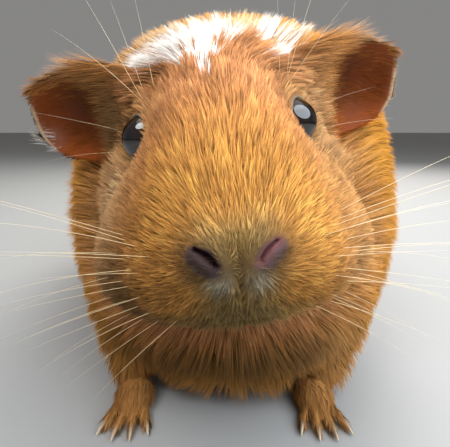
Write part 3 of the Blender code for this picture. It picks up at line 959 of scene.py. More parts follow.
    def finish(self, obj: bpy.types.Object, at: dict[str, Array], colours: Array) -> None:
        """Dresses the skin and stores the grain's own axes: the turn round the head's axis and a shortened length.

        Args:
            obj: the skin's object.
            at: what the coat's survey found.
            colours: red, green, blue per point.
        """
        paint(obj.data, np.clip(colours, 0, 1))
        x, s, h = at["place"].T
        turn = np.arctan2(x, h + 3.0)
        add_vectors(obj.data, "lie", np.stack((np.cos(turn) * 60.0, np.sin(turn) * 60.0, s * 0.45), -1))
        dress(obj, SKIN.make())
        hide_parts(*FLESH)
        LOG.info("skin: %d points, %d triangles", len(obj.data.vertices), len(obj.data.polygons))


# ---------------------------------------------------------------------------------------------
# the markings, with painted light and shade laid into them


def mixed(under: Array, colour: Array, share: Array) -> Array:
    """A colour laid over others: under + (colour - under) times the share.

    Args:
        under: one colour per place.
        colour: the colour laid over them.
        share: how much of it, from 0 to 1, per place.
    Returns:
        One colour per place.
    """
    return under + (colour - under) * np.clip(share, 0, 1)[:, None]


def srgb(red: float, green: float, blue: float) -> Array:
    """A colour on the 0 to 255 scale of a paint chart, as linear numbers."""
    c = np.array((red, green, blue)) / 255.0
    return np.where(c <= 0.04045, c / 12.92, ((c + 0.055) / 1.055) ** 2.4)


def chip(red: float, green: float, blue: float) -> Any:
    """A dataclass field that holds a paint chart's colour."""
    return field(default_factory=lambda: srgb(red, green, blue))


def layered(under: Array, layers: Sequence[tuple[Array, Array]]) -> Array:
    """Colours laid over one another in turn.

    Args:
        under: one colour per place.
        layers: each colour and how much of it, from 0 to 1, per place.
    Returns:
        One colour per place.
    """
    for colour, share in layers:
        under = mixed(under, colour, share)
    return under


@dataclass
class Markings:
    """The colours of skin and coat, by place on the body, with painted light and shade laid into some of them."""

    form: Form
    skin: Skin
    gold: Array = chip(216, 142, 68)
    amber: Array = chip(218, 150, 68)
    ochre: Array = chip(196, 134, 36)
    # peach: the brow hair's own tone, also used as painted sheen on the brow
    peach: Array = chip(184, 121, 78)
    honey: Array = chip(208, 152, 94)
    # olive: the muzzle hair's own tone, partly painted green bounce light
    olive: Array = chip(158, 136, 84)
    rust: Array = chip(186, 106, 46)
    cream: Array = chip(238, 204, 166)
    white: Array = chip(252, 243, 234)
    umber: Array = chip(116, 88, 56)
    ash: Array = chip(206, 198, 178)
    sienna: Array = chip(148, 72, 20)
    russet: Array = chip(188, 90, 24)
    nose_skin: Array = chip(98, 74, 72)
    nose_pink: Array = chip(160, 96, 98)
    nostril_skin: Array = chip(48, 20, 24)
    ear_skin: Array = chip(130, 60, 14)
    lid_skin: Array = chip(120, 112, 92)
    socket_skin: Array = chip(24, 18, 16)
    lip_skin: Array = chip(70, 44, 36)
    sole_skin: Array = chip(196, 140, 122)
    crest_low: Rows = ((34.0, -2.5), (37.0, -2.6), (46.5, -6.5), (58.0, -14.0), (72.0, -20.0), (92.0, -27.0))
    crest_edge: Rows = ((34.0, -0.5), (48.0, 1.0), (65.0, 4.2), (82.0, 6.8))
    crest_left: Rows = ((49.0, 9.5), (56.0, 14.5), (66.0, 19.5), (76.0, 25.0), (86.0, 32.0))

    def crest(self, head: Array) -> Array:
        """The white crest: a wedge on the brow that widens to its right, and a smaller patch on its left.

        Args:
            head: places in head axes.
        Returns:
            How white, from 0 to 1.
        """
        x, s, h = head.T
        x = x + 0.9 * waves(head, 4.0, 3) + 0.5 * waves(head, 1.6, 4)
        s = s + 1.6 * waves(head, 5.0, 6)
        low, edge, high = (held(rows, s)[:, 0] for rows in (self.crest_low, self.crest_edge, self.crest_left))
        right = ramp(x - low, -1.2, 1.2) * ramp(edge - x, -1.2, 1.2) * ramp(s, 30, 35)
        left = 0.82 * ramp(high - x, -1.2, 1.2) * ramp(x - (9.4 + 0.11 * (s - 52)), -0.8, 0.8) * ramp(s, 48, 52)
        whole = np.maximum(right, left) * (1 - (0.40 + 0.45 * ramp(-x, 3, 9)) * ramp(s, 66, 84))
        return whole * (1 - ramp(s, 84, 94)) * ramp(h, 17, 22)

    def bare_nose(self, head: Array) -> Array:
        """The almost hairless pads round the nostrils, mostly below their slits."""
        _, t, below = self.form.nostril(head)
        pad = ((t - 0.45) / 0.80) ** 2 + ((below - 0.9) / 2.1) ** 2
        return (1 - ramp(pad, 0.45, 1.45)) * (1 - ramp(head[:, 1], 5, 7))

    def slits(self, head: Array) -> Array:
        """The dark inside of the nostrils."""
        return np.exp(-((self.form.nostril(head)[0] / 0.55) ** 2)) * (head[:, 1] < 7)

    def petal(self, head: Array) -> Array:
        """Colour of the hair on an ear: gold at root and top, sienna in the middle deepened by painted shadow in the
        hollow, russet low as painted light shining through, a cream rim as painted rim light.

        Args:
            head: places in head axes.
        Returns:
            Linear red, green and blue.
        """
        ear = self.skin.ear
        own = ear.own(folded(head), Side.LEFT)
        away, down, _ = own.T
        tuft = bell(own[:, :2], ear.tuft_at, (3.0, 3.4)) * (head[:, 0] < 0)
        return layered(np.broadcast_to(self.sienna, head.shape), (
            # russet low on the ear: painted light shining through it
            (self.russet, ramp(down, 7, 14)),
            (self.gold, 0.9 * ramp(-down, 1, 8)),
            (self.gold, 0.95 * (1 - ramp(away - 0.45 * np.maximum(-down, 0), -4, 3))),
            # painted shadow in the hollow of the ear
            (0.35 * self.sienna, 0.85 * bell(own[:, :2], (6, -1), (6, 10))),
            (self.cream, 0.35 * ramp(-down, 7, 12)),
            # cream rim: painted rim light along the ear's edge
            (self.cream, 0.9 * ramp(ear.past_rim(own), -2.6, -1.0)),
            (self.white, np.clip(1.6 * tuft, 0, 0.8))))

    def coat(self, room: Array, head: Array, ear: Array, crest: bool = True) -> Array:
        """Colour of the hair whose roots are at these places.

        Args:
            room: places in the room.
            head: the same in head axes.
            ear: how much each belongs to an ear.
            crest: whether the white crest is laid over the rest.
        Returns:
            Linear red, green and blue.
        """
        x, s, h = head.T
        ax, both = np.abs(x), folded(head)
        rx, ry, rz = np.abs(room[:, 0]), room[:, 1], room[:, 2]
        on_head = (1 - ramp(s, 66, 84)) * ramp(h, -46, -36) * (1 - ramp(ax, 33, 39))
        muzzle, muzzle_far = on_head * (1 - ramp(s, 4, 17)), on_head * (1 - ramp(s, 16, 40))
        paw = (1 - ramp(rz, 11, 18)) * (1 - on_head) * ramp(rx, 14, 19)
        # painted shadow: the chest just below the chin, where the head's shadow falls
        chin_shadow = ((1 - on_head) * (1 - ramp(ry, -66, -50)) * ramp(rz, 14, 24) * (1 - ramp(rz, 34, 62))
                  * (1 - ramp(rx, 18, 42)))
        c = layered(np.broadcast_to(self.gold, room.shape), (
            (self.rust, 0.22 + 0.25 * waves(room, 22.0, 11) - 0.1 * on_head),
            (self.ochre, 0.68 * (1 - on_head)),
            (self.amber, 0.8 * on_head * (1 - ramp(s, 4, 24)) * (1 - ramp(ax, 10, 24))),
            # brow: partly the hair's own peach, partly painted sheen of light from above
            (self.peach, 0.9 * on_head * ramp(s, 6, 32) * (1 - ramp(s, 58, 70)) * (1 - 0.6 * ramp(ax, 14, 26))),
            # top of the nape: partly its own cream, partly painted rim light from behind
            (self.cream, 0.7 * ramp(s, 66, 80) * (1 - ramp(s, 92, 104)) * ramp(h, 14, 24) * (1 - ramp(ax, 14, 24))),
            (self.cream, 0.12 * (1 - ramp(rz, 8, 30)) * (1 - on_head)),
            (self.honey, 0.75 * on_head * bell(both, (25, 38, -10), (16, 26, 20))),
            # olive round the nose and on the lips: partly their own colour, partly painted green bounce light
            (self.olive, 0.75 * muzzle * (1 - ramp(ax, 3.5, 9)) * (1 - ramp(h, 1.5, 7))),
            (self.olive, 0.7 * muzzle * (1 - ramp(h, -15, -9)) * (1 - ramp(ax, 9, 15))),
            # painted shade: the underside of the face darkened, and a dark patch on the shaded left temple
            (self.umber, 0.45 * muzzle_far * ramp(-h, 6, 18) + 0.4 * bell(head, (-27, 54, 14), (6, 7, 8))),
            # painted shade at the mouth below the philtrum, a dark greenish olive
            (0.5 * self.olive, 0.75 * bell(both, (0, 3, -13), (5, 9, 6))),
            # painted shade: the left side of the lower face darker
            (0.5 * self.umber, 0.85 * bell(head, (-18, 13, -18), (20, 20, 14))),
            # painted light: the right jaw paler
            (self.honey, 0.75 * bell(head, (18, 22, -20), (12, 16, 9))),
            # painted shade on the left temple in front of the ear root
            (self.umber, 0.85 * bell(head, (-28, 56, 12), (8, 11, 13))),
            (self.umber, (0.85 * bell(both, (5.4, 0, -0.9), (3.6, 9, 3.6))
                          + 0.5 * bell(both, (0, 0, -3.0), (2.0, 8, 2.4)))),
            # painted shade: the fur by the left nostril darker
            (0.45 * self.umber, 0.7 * bell(head, (-5.4, 0, -1.6), (3.8, 6, 3.2))),
            # darker over the nose pads, the left twice as dark as painted shade
            (0.30 * self.umber, 0.9 * self.bare_nose(head) * (1 - 0.5 * ramp(x, -2, 2))),
            (self.ash, 0.75 * bell(both, (3.0, 1, -5.2), (1.5, 5, 1.8))),
            (self.cream, 0.35 * bell(head, (26, 50, 10), (7, 9, 12)) + 0.30 * bell(head, (-26, 38, -6), (11, 15, 14))),
            *((self.honey, 0.6 * np.exp(-((self.skin.eye_shape(room, side)[0] - 1.55) / 0.35) ** 2)) for side in Side),
            (self.petal(head), 0.95 * ear),
            (self.rust, 0.25 * paw),
            (self.umber, 0.25 * paw),
            # painted shadow under the chin, laid on the chest hair as umber
            (0.40 * self.umber, 0.85 * chin_shadow),
            # painted light: low on the right front of the body, below the jaw, paler
            (self.honey, 0.65 * bell(room, (31, -85, 23), (13, 16, 12))),
            # painted shade: the same place on the left darker
            (0.5 * self.umber, 0.45 * bell(room, (-32, -87, 27), (12, 16, 14)))))
        return mixed(c, self.white, self.crest(head)) if crest else c

    def bare(self, room: Array, head: Array, ear: Array) -> Array:
        """Colour of the skin itself: the coat's own shades, darkened as painted shade under the hair, and bare skin
        where no hair grows.

        Args:
            room: places in the room.
            head: the same in head axes.
            ear: how much each belongs to an ear.
        Returns:
            Linear red, green and blue.
        """
        x, s, h = head.T
        own, pad = self.skin.ear.own(folded(head), Side.LEFT), self.bare_nose(head)
        rim = self.skin.ear.past_rim(own)
        by_slit = np.exp(-(((self.form.nostril(head)[0] - 0.3) / 0.6) ** 2))
        layers = [
            (self.ear_skin, 0.9 * ear),
            # painted shadow in the ear's hollow
            (0.30 * self.ear_skin, 0.9 * ear * bell(own, (8, -1, -4), (8, 9, 9))),
            # painted light shining through the lower ear
            (0.7 * self.russet, 0.5 * ear * ramp(own[:, 1], 6, 14)),
            # painted rim light along the ear's edge
            (self.cream, 0.8 * ear * ramp(rim, -1.4, -0.4)),
            (self.nose_skin, pad),
            # the nostril's own pink, shown only on the right as painted light
            (self.nose_pink, 0.6 * by_slit * ramp(x, -2, 3) * (s < 7)),
            # painted shade: the left nose pad darker
            (0.30 * self.nose_skin, 0.8 * pad * ramp(-x, -1, 2)),
            # the dark inside of the nostrils, darker on the left as painted shade
            (self.nostril_skin, self.slits(head) * (0.95 - 0.55 * ramp(x, -2, 2)))]
        for side in Side:
            k = self.skin.eye_shape(room, side)[0]
            layers += [(self.lid_skin, np.exp(-((k - 1.06) / 0.10) ** 2)), (self.socket_skin, 1 - ramp(k, 0.9, 1.0))]
        mouth = np.exp(-((self.skin.mouth(x, h) / 0.9) ** 2)) * self.skin.under_nose(s, h)
        layers += [(self.lip_skin, 0.8 * mouth), (self.sole_skin, 0.9 * (1 - ramp(room[:, 2], 0.2, 1.2)))]
        # painted shade: the skin under the coat takes the coat's colour at 0.62
        return layered(self.coat(room, head, ear) * 0.62, layers)


# ---------------------------------------------------------------------------------------------
# finishes


@dataclass(frozen=True)
class Finish:
    """A surface: its gloss and the fine relief that breaks it up; its colour is the painted attribute."""

    name: str
    roughness: float = 0.55
    specular: float = 0.3
    gloss: float = 0.0
    gloss_roughness: float = 0.03
    gloss_index: float = 1.5
    soft: float = 0.0
    grain: float = 900.0
    relief: float = 0.15
    mottle: float = 0.12
    follows: str = ""

    def make(self) -> bpy.types.Material:
        """Colour from the attribute, mottled by noise; roughness and bump from the same noise.

        Returns:
            The material.
        """
        material = bpy.data.materials.new(self.name)
        material.use_nodes = True
        nodes, links = material.node_tree.nodes, material.node_tree.links
        shader = nodes["Principled BSDF"]
        values = {"Specular IOR Level": self.specular, "Coat Weight": self.gloss,
                  "Coat Roughness": self.gloss_roughness, "Coat IOR": self.gloss_index}
        if self.soft:
            values |= {"Subsurface Weight": self.soft, "Subsurface Radius": (1.0, 0.45, 0.3),
                       "Subsurface Scale": 0.0012}
        for socket, value in values.items():
            shader.inputs[socket].default_value = value
        colour = nodes.new("ShaderNodeAttribute")
        colour.attribute_name = TINT
        noise = nodes.new("ShaderNodeTexNoise")
        noise.inputs["Scale"].default_value = self.grain
        noise.inputs["Detail"].default_value = 3.0
        if self.follows:
            lie = nodes.new("ShaderNodeAttribute")
            lie.attribute_name = self.follows
            links.new(lie.outputs["Vector"], noise.inputs["Vector"])
        else:
            links.new(nodes.new("ShaderNodeTexCoord").outputs["Object"], noise.inputs["Vector"])
        tone = nodes.new("ShaderNodeMapRange")
        tone.inputs["To Min"].default_value = 1.0 - self.mottle
        tone.inputs["To Max"].default_value = 1.0 + self.mottle
        links.new(noise.outputs["Fac"], tone.inputs["Value"])
        mix = nodes.new("ShaderNodeVectorMath")
        mix.operation = "SCALE"
        links.new(colour.outputs["Color"], mix.inputs[0])
        links.new(tone.outputs["Result"], mix.inputs["Scale"])
        links.new(mix.outputs["Vector"], shader.inputs["Base Color"])
        rough = nodes.new("ShaderNodeMapRange")
        rough.inputs["To Min"].default_value = max(0.02, self.roughness - 0.08)
        rough.inputs["To Max"].default_value = min(1.0, self.roughness + 0.08)
        links.new(noise.outputs["Fac"], rough.inputs["Value"])
        links.new(rough.outputs["Result"], shader.inputs["Roughness"])
        if self.relief:
            bump = nodes.new("ShaderNodeBump")
            bump.inputs["Strength"].default_value = self.relief
            bump.inputs["Distance"].default_value = 0.0004
            links.new(noise.outputs["Fac"], bump.inputs["Height"])
            links.new(bump.outputs["Normal"], shader.inputs["Normal"])
        return material


COAT = Finish("coat hair", roughness=0.75, specular=0.0, grain=1500.0, relief=0.0, mottle=0.10)
SKIN = Finish("skin", roughness=0.56, specular=0.18, soft=0.12, grain=1.0, relief=0.55, mottle=0.22, follows="lie")
EYE = Finish("eye", roughness=0.30, specular=0.0, gloss=1.0, gloss_roughness=0.015, gloss_index=1.68, grain=700.0,
             relief=0.0, mottle=0.25)
CLAW = Finish("claw horn", roughness=0.36, specular=0.45, gloss=0.2, gloss_roughness=0.2, soft=0.1, grain=1400.0,
              relief=0.2, mottle=0.15)
WHISKER = Finish("whisker", roughness=0.38, specular=0.5, grain=600.0, relief=0.0, mottle=0.08)


# ---------------------------------------------------------------------------------------------
# the coat


BLADE_TRIS = np.array(((0, 1, 2), (0, 3, 1), (1, 3, 2), (2, 3, 0)))
BLADE_SPOTS = np.array(((-0.5, -0.5), (0.0, -0.5), (0.5, -0.5), (0.0, 0.5)))


@dataclass(frozen=True)
class Patch:
    """A piece of the coat: the size of its smallest locks, and which part of the body it covers."""

    name: str
    lump: float
    covers: Cover


@dataclass
class Coat:
    """Hair in thin overlapping tufts that follow the lie of the coat.

    Rows of hair give length, width, rise of the tip and density; the face's rows start with the place.
    """

    form: Form
    skin: Skin
    markings: Markings
    seed: int = 20
    amount: float = 1.0
    half_width: float = 66.5
    face_hair: Rows = (
        (0, 1.8, 0.18, 0.60, 15.0), (5, 3.1, 0.20, 1.1, 14.0), (14, 5.0, 0.23, 1.8, 11.5), (30, 6.8, 0.27, 2.5, 9.2),
        (44, 8.0, 0.29, 2.9, 8.2), (56, 10.0, 0.26, 3.4, 8.0), (70, 13.0, 0.26, 4.0, 7.6), (90, 15.0, 0.26, 4.4, 6.6))
    back_hair: tuple[float, ...] = (16.0, 0.36, 3.9, 2.4)
    zone_hair: tuple[tuple[str, tuple[float, ...]], ...] = (
        ("chest", (14.0, 0.30, 4.4, 4.2)), ("belly", (11.0, 0.36, 3.0, 2.2)), ("leg", (9.0, 0.32, 2.4, 3.8)),
        ("paw", (4.8, 0.22, 1.40, 8.0)), ("ear", (3.8, 0.20, 0.60, 7.0)))
    ear_root_hair: tuple[float, ...] = (6.0, 0.30, 1.0, 4.6)
    rump_lie: tuple[float, ...] = (0.0, 0.35, -1.0)
    zone_lie: tuple[tuple[str, tuple[float, ...]], ...] = (("leg", (0.0, 0.55, -0.8)), ("paw", (0.0, -1.0, -0.25)))

    def survey(self, mesh: bpy.types.Mesh) -> tuple[Web, dict[str, Array]]:
        """Works out, at each point of the skin, how the hair grows there.

        Args:
            mesh: the skin.
        Returns:
            The skin as a web, and per point: head place, ear share, zone shares, lie, length, width,
            rise of the tip, density and the bend of the skin along the lie.
        """
        web = Web(*read_mesh(mesh))
        room = web.points
        head = self.form.pose.to_head(room)
        x, s, h = head.T
        rx, ry, rz = room.T
        ear = self.skin.ear_nearness(room)
        n = web.normals
        on_head = (1 - ramp(s, 62, 84)) * ramp(h, -46, -36) * (1 - ramp(np.abs(x), 34, 42)) * (1 - ear)
        plan = np.stack((np.abs(rx), ry), -1)
        paw = (1 - ramp(rz, 7.5, 11.5)) * np.clip(
            bell(plan, (27, -84), (16, 16)) * 4 + bell(plan, (36, 70), (13, 26)) * 4, 0, 1)
        leg = (1 - ramp(rz, 34, 56)) * np.clip(
            bell(plan, (36, -66), (18, 26)) * 2 * (1 - ramp(rz, 20, 34)) + bell(plan, (38, 70), (18, 40)) * 2,
            0, 1) * (plan[:, 0] > 16) * (1 - paw)
        chest = ((1 - on_head) * ramp(-n[:, 1], 0.2, 0.7) * (1 - ramp(ry, -60, -40)) * (1 - ramp(rz, 50, 75))
                 * (1 - paw))
        belly = ramp(-n[:, 2], 0.4, 0.8) * (1 - on_head) * (1 - paw) * (1 - ear) * (rz < 45)
        zones = dict(head=on_head, ear=ear, paw=paw, leg=leg, chest=chest, belly=belly)
        at = dict(room=room, normal=n, place=head, **zones)
        at["bare"] = self.bareness(room, head)
        at["crest"] = self.markings.crest(head + np.array((0, 4.0, 0)))
        lie = self.lie(room, head, n, zones)
        for _ in range(8):
            lie = web.smooth(lie, 1, 0.5)
            lie = unit(lie - (lie * n).sum(-1, keepdims=True) * n)
        at["lie"] = lie
        at["fringe"], at["aim"] = np.zeros(len(x)), np.zeros_like(room)
        for side in Side:
            mine = x * side.value > 0
            at["fringe"] += mine * self.fringe(self.skin.ear.own(head, side))
            away = self.skin.ear.axes()[0] + np.array((0.0, 0.0, 0.10))
            at["aim"] += mine[:, None] * self.form.pose.way(unit(away) * side.mirror)
        at["bend"] = self.bend(web, lie)
        at.update(self.growth(at))
        return web, at

    def bareness(self, room: Array, head: Array) -> Array:
        """Where no hair grows: nose pads, eyes and lids, soles."""
        bare = 0.55 * self.markings.bare_nose(head) + self.markings.slits(head)
        for side in Side:
            k, _, high = self.skin.eye_shape(room, side)
            bare = np.maximum(bare, (1 - ramp(k, 1.16, 1.30)) * (high > -6))
        return np.maximum(bare, 1 - ramp(room[:, 2], 0.3, 1.0))

    def lie(self, room: Array, head: Array, n: Array, zones: dict[str, Array]) -> Array:
        """The way the hair lies: away from the nose, back along the body, down its sides, legs and rump.

        Args:
            room: places in the room.
            head: the same in head axes.
            n: skin normals.
            zones: shares of the zones.
        Returns:
            Unit vectors along the skin.
        """
        pose = self.form.pose
        x, s, h = head.T
        out = np.stack((x, s + 7.0, h + 2.5), -1)
        out[:, 2] -= 9.0 * (1 - ramp(h, -30, -12))
        out[:, 1] += 22.0 * ramp(s, 30, 60)
        for side in Side:
            d = head - pose.to_head(self.form.eye_frame(side)[0])
            near = np.exp(-((np.linalg.norm(d, axis=1) / 8.5) ** 2)) * (1 - 0.85 * ramp(-d[:, 2], 0.5, 3.5))
            out += 17.0 * unit(d) * near[:, None]
        turn = 1.30 * np.tanh(x / 11.0)
        fan = (ramp(s, 38, 50) * ramp(h, 10, 19))[:, None]
        out = unit(out) * (1 - fan) + fan * np.stack((np.sin(turn), np.cos(turn), 0.0 * x), -1)
        ways = pose.way(unit(out))
        rx, ry, _ = room.T
        side_share = np.clip(np.abs(n[:, 0]), 0, 1)
        body = np.stack((0.20 * np.sign(rx) * (1 - side_share), np.ones(len(rx)), -0.12 - 0.42 * side_share), -1)
        rump = ramp(ry, 70, 118)[:, None]
        body = body * (1 - rump) + rump * np.array(self.rump_lie)
        body += 0.7 * zones["chest"][:, None] * np.stack((0.018 * rx, -0.3 + 0 * rx, -1.0 + 0 * rx), -1)
        head_share, ear = zones["head"][:, None], zones["ear"][:, None]
        lie = unit(body) * (1 - head_share) + ways * head_share
        for zone, way in self.zone_lie:
            share = zones[zone][:, None]
            lie = lie * (1 - share) + unit(np.array(way)) * share
        away, down, _ = self.skin.ear.axes()
        for side in Side:
            own = self.skin.ear.own(head, side)
            petal = (away + 0.02 * own[:, 1:2] * down) * side.mirror
            mine = np.maximum(ear * (own[:, :1] > -2), self.fringe(own)[:, None]) * (x[:, None] * side.value > 0)
            lie = lie * (1 - mine) + unit(pose.way(petal)) * mine
        return unit(lie - (lie * n).sum(-1, keepdims=True) * n)

    @staticmethod
    def fringe(own: Array) -> Array:
        """How much a place lies along an ear's root, on its hollow side.

        Args:
            own: distances from the ear's root: away, down, and out of the hollow side.
        Returns:
            Numbers from 0 to 1.
        """
        away, down, face = own.T
        return (ramp(away, -7, -3) * (1 - ramp(away, 4, 10)) * (1 - ramp(np.abs(down), 14, 20))
                * ramp(face, -10, -7) * (1 - ramp(face, 2, 6)))

    @staticmethod
    def bend(web: Web, lie: Array) -> Array:
        """How fast the skin curves away along the lie: the change of its normal per millimetre.

        Args:
            web: the skin.
            lie: unit vectors along it.
        Returns:
            One number per point, smoothed.
        """
        p, n = web.points[web.tris], web.normals[web.tris]
        e1, e2 = p[:, 1] - p[:, 0], p[:, 2] - p[:, 0]
        way = unit(lie[web.tris].mean(1))
        a11, a12, a22 = (e1 * e1).sum(1), (e1 * e2).sum(1), (e2 * e2).sum(1)
        b1, b2 = (e1 * way).sum(1), (e2 * way).sum(1)
        det = np.maximum(a11 * a22 - a12**2, 1e-6)
        c1, c2 = (a22 * b1 - a12 * b2) / det, (a11 * b2 - a12 * b1) / det
        turn = c1[:, None] * (n[:, 1] - n[:, 0]) + c2[:, None] * (n[:, 2] - n[:, 0])
        value = np.clip((turn * way).sum(1), -0.15, 0.25)
        corner = web.tris.ravel()
        total = np.bincount(corner, np.repeat(value, 3), len(web.points))
        total = total / np.maximum(np.bincount(corner, minlength=len(web.points)), 1)
        return web.smooth(total[:, None], 6)[:, 0]

    def growth(self, at: dict[str, Array]) -> dict[str, Array]:
        """Length, width, rise and density of the tufts at each point of the skin."""
        x, s, h = at["place"].T
        room, both = at["room"], folded(at["place"])
        ax = both[:, 0]
        head, ear, paw, leg = (at[k] for k in ("head", "ear", "paw", "leg"))
        face = held(self.face_hair, s).T
        top = ramp(s, 40, 58) * ramp(h, 2, 18)
        length, width, rise, dense = face[0] + 6.0 * top, face[1] - 0.04 * top, face[2] + 1.2 * at["crest"], face[3]
        cheek, jowl = bell(both, (27, 44, -12), (13, 20, 19)), bell(both, (17, 31, -22), (10, 20, 10))
        jaw = ramp(-h, 14, 26) * ramp(s, 8, 30)
        nape = ramp(s, 44, 58) * ramp(ax, 17, 25) * (1 - ramp(ax, 36, 44))
        length = length + 3.0 * jaw + 4.0 * cheek + 4.0 * nape + 2.0 * jowl
        rise = rise + 0.8 * jaw + 1.5 * cheek + 2.2 * nape + 0.9 * jowl
        for side in Side:
            k = self.skin.eye_shape(room, side)[0]
            length = length * (0.40 + 0.60 * ramp(k, 1.1, 2.4))
            rise = rise * (0.45 + 0.55 * ramp(k, 1.1, 2.2))
        neck = 1 - ramp(room[:, 1], -58, -20)
        values = [(back + change * neck) * (1 - head) + own * head for back, change, own in zip(
            self.back_hair, (-3.0, -0.06, -0.9, 0.9), (length, width, rise, dense))]
        for zone, goals in self.zone_hair:
            values = [v * (1 - at[zone]) + goal * at[zone] for v, goal in zip(values, goals)]
        own = self.skin.ear.own(both, Side.LEFT)
        away, down, out = own.T
        root = ((1 - ear) * np.exp(-((away / 9.0) ** 2)) * (1 - ramp(np.abs(down), 15, 24))
                * (1 - ramp(np.abs(out), 9, 15)))
        length, width, rise, dense = (
            v + (goal - v) * np.clip(1.4 * root, 0, 1) for v, goal in zip(values, self.ear_root_hair))
        rim = ear * ramp(self.skin.ear.past_rim(own), -4.0, -1.5)
        tuft = ear * bell(own[:, :2], self.skin.ear.tuft_at, (2.6, 3.0)) * (x < 0) * (out > 0)
        length = length + ear * 3.0 * ramp(-down, 2, 9) - 2.2 * rim + 8.0 * tuft
        rise = rise - 0.2 * rim + 1.2 * tuft
        fringe, fringe_long = self.fringe(own), 5.0 + 6.0 * ramp(-down, 4, 12)
        length, width, rise, dense = (
            v + (goal - v) * fringe for v, goal in zip((length, width, rise, dense), (fringe_long, 0.22, 1.2, 8.0)))
        low = 1 - ramp(room[:, 2], 2, 14)
        length = length * (1 - 0.35 * low * (1 - paw) * (1 - leg) - 0.5 * leg * low)
        rise = rise * (1 - 0.5 * leg * low)
        hollow = self.in_ear(at)
        dense = dense * (1 - 0.45 * hollow) * (1 + 1.4 * np.clip(tuft, 0, 1))
        return dict(length=length, width=width + 0.10 * tuft, rise=rise, dense=dense * (1 - at["bare"]), hollow=hollow)

    def in_ear(self, at: dict[str, Array]) -> Array:
        """How much a point of the skin faces into an ear's hollow side."""
        hollow = np.zeros(len(at["room"]))
        for side in Side:
            face = self.form.pose.way(self.skin.ear.axes()[2] * side.mirror)
            mine = at["ear"] * ramp(at["normal"] @ face, 0.1, 0.5) * (at["place"][:, 0] * side.value > 0)
            hollow = np.maximum(hollow, mine)
        return hollow

    def scatter(self, web: Web, at: dict[str, Array], chosen: NDArray[np.bool_]) -> dict[str, Array]:
        """Roots spread evenly at random: equal steps through the triangles' areas times density.

        Args:
            web: the skin.
            at: what survey found.
            chosen: which triangles.
        Returns:
            The same names as at, one row per root.
        """
        rng = np.random.default_rng(self.seed)
        self.seed += 1
        tris = web.tris[chosen]
        p = web.points[tris]
        centre = p.mean(1)
        area = 0.5 * np.linalg.norm(np.cross(p[:, 1] - p[:, 0], p[:, 2] - p[:, 0]), axis=1)
        grid = np.clip(((centre + 200) / 1.5).astype(np.int64), 0, 511)
        code = np.zeros(len(grid), np.int64)
        for bit in range(9):
            for axis in range(3):
                code |= ((grid[:, axis] >> bit) & 1) << (3 * bit + axis)
        order = np.argsort(code, kind="stable")
        tris = tris[order]
        total = np.cumsum((area * at["dense"][web.tris[chosen]].mean(1))[order]) * self.amount
        count = int(total[-1])
        steps = (np.arange(count) + rng.uniform(0, 1, count)) * total[-1] / count
        pick = np.minimum(np.searchsorted(total, steps), len(tris) - 1)
        r1, r2 = np.sqrt(rng.uniform(0, 1, count)), rng.uniform(0, 1, count)
        share = np.stack((1 - r1, r1 * (1 - r2), r1 * r2), -1)
        found = {}
        for name, values in at.items():
            rows = values[tris[pick]]
            found[name] = (rows * (share[..., None] if rows.ndim == 3 else share)).sum(1)
        keep = found["bare"] < rng.uniform(0.2, 0.8, count)
        return {name: values[keep] for name, values in found.items()}

    @staticmethod
    def gather(place: Array, tip: Array, lie: Array, lump: float) -> tuple[Array, Array]:
        """Draws tips together in locks: each goes part of the way to its cell's mean tip, mostly across the lie.

        Args:
            place: roots.
            tip: tips.
            lie: unit vectors along the coat.
            lump: size of the smallest locks.
        Returns:
            How far each tip moves, and one number per tuft that its lock shares.
        """
        draw, shared = np.zeros_like(tip), np.zeros(len(tip))
        for number, (size, pull) in enumerate(((lump, 0.55), (2.5 * lump, 0.35))):
            group = clumps(place, size, 31 + number)
            members = np.bincount(group)
            mean = np.stack([np.bincount(group, tip[:, k]) for k in range(3)], -1) / members[:, None]
            gap = mean[group] - tip
            draw += pull * (gap - 0.75 * (gap * lie).sum(-1, keepdims=True) * lie)
            shared += np.random.default_rng(41 + number).normal(0, 1, len(members))[group]
        return draw, shared

    def tufts(self, root: dict[str, Array], lump: float) -> tuple[Array, Array, NDArray[np.int64], Array, Array]:
        """Builds every tuft of a piece: a three-sided blade from three points in the skin to one at its tip.

        The tip lies sqrt(length^2 - rise^2) along the coat, and off it by the rise, less half the skin's
        bend times that distance squared.

        Args:
            root: one row per root.
            lump: size of the smallest locks.
        Returns:
            Points, their normals, triangles, colours, and each point's place on its tuft (across and along).
        """
        rng = np.random.default_rng(self.seed * 7 + 1)
        place, n = root["room"], unit(root["normal"])
        lie = unit(root["lie"] - (root["lie"] * n).sum(-1, keepdims=True) * n)
        side = np.cross(n, lie)
        count = len(place)
        still = 1 - 0.3 * root["head"] * (1 - ramp(root["place"][:, 1], 20, 50))
        swing = still * (0.26 * waves(place, 7.0, 5) + 0.20 * waves(place, 2.6, 6)) + rng.normal(0, 0.13, count)
        lie, side = (lie * np.cos(swing)[:, None] + side * np.sin(swing)[:, None],
                     side * np.cos(swing)[:, None] - lie * np.sin(swing)[:, None])
        length = root["length"] * rng.uniform(0.72, 1.18, count)
        lift = rng.normal(0.90, 0.14 + 0.10 * root["head"], count) + 0.12 * waves(place, 5.0, 8)
        rise = root["rise"] * np.clip(lift, 0.25, 1.4)
        left = (self.half_width - np.abs(place[:, 0])) / np.maximum(np.abs(n[:, 0]), 0.25)
        rise = np.minimum(np.minimum(rise, 0.9 * length), np.maximum(left, 0.6))
        width = root["width"] * rng.uniform(0.7, 1.25, count)
        along = np.sqrt(np.maximum(length**2 - rise**2, 0.1))
        curl = rng.normal(0, 0.06, count) * length
        bend = np.clip(root["bend"], -0.004, 0.09)
        tip = place + along[:, None] * lie + (rise - 0.5 * bend * along**2)[:, None] * n + curl[:, None] * side
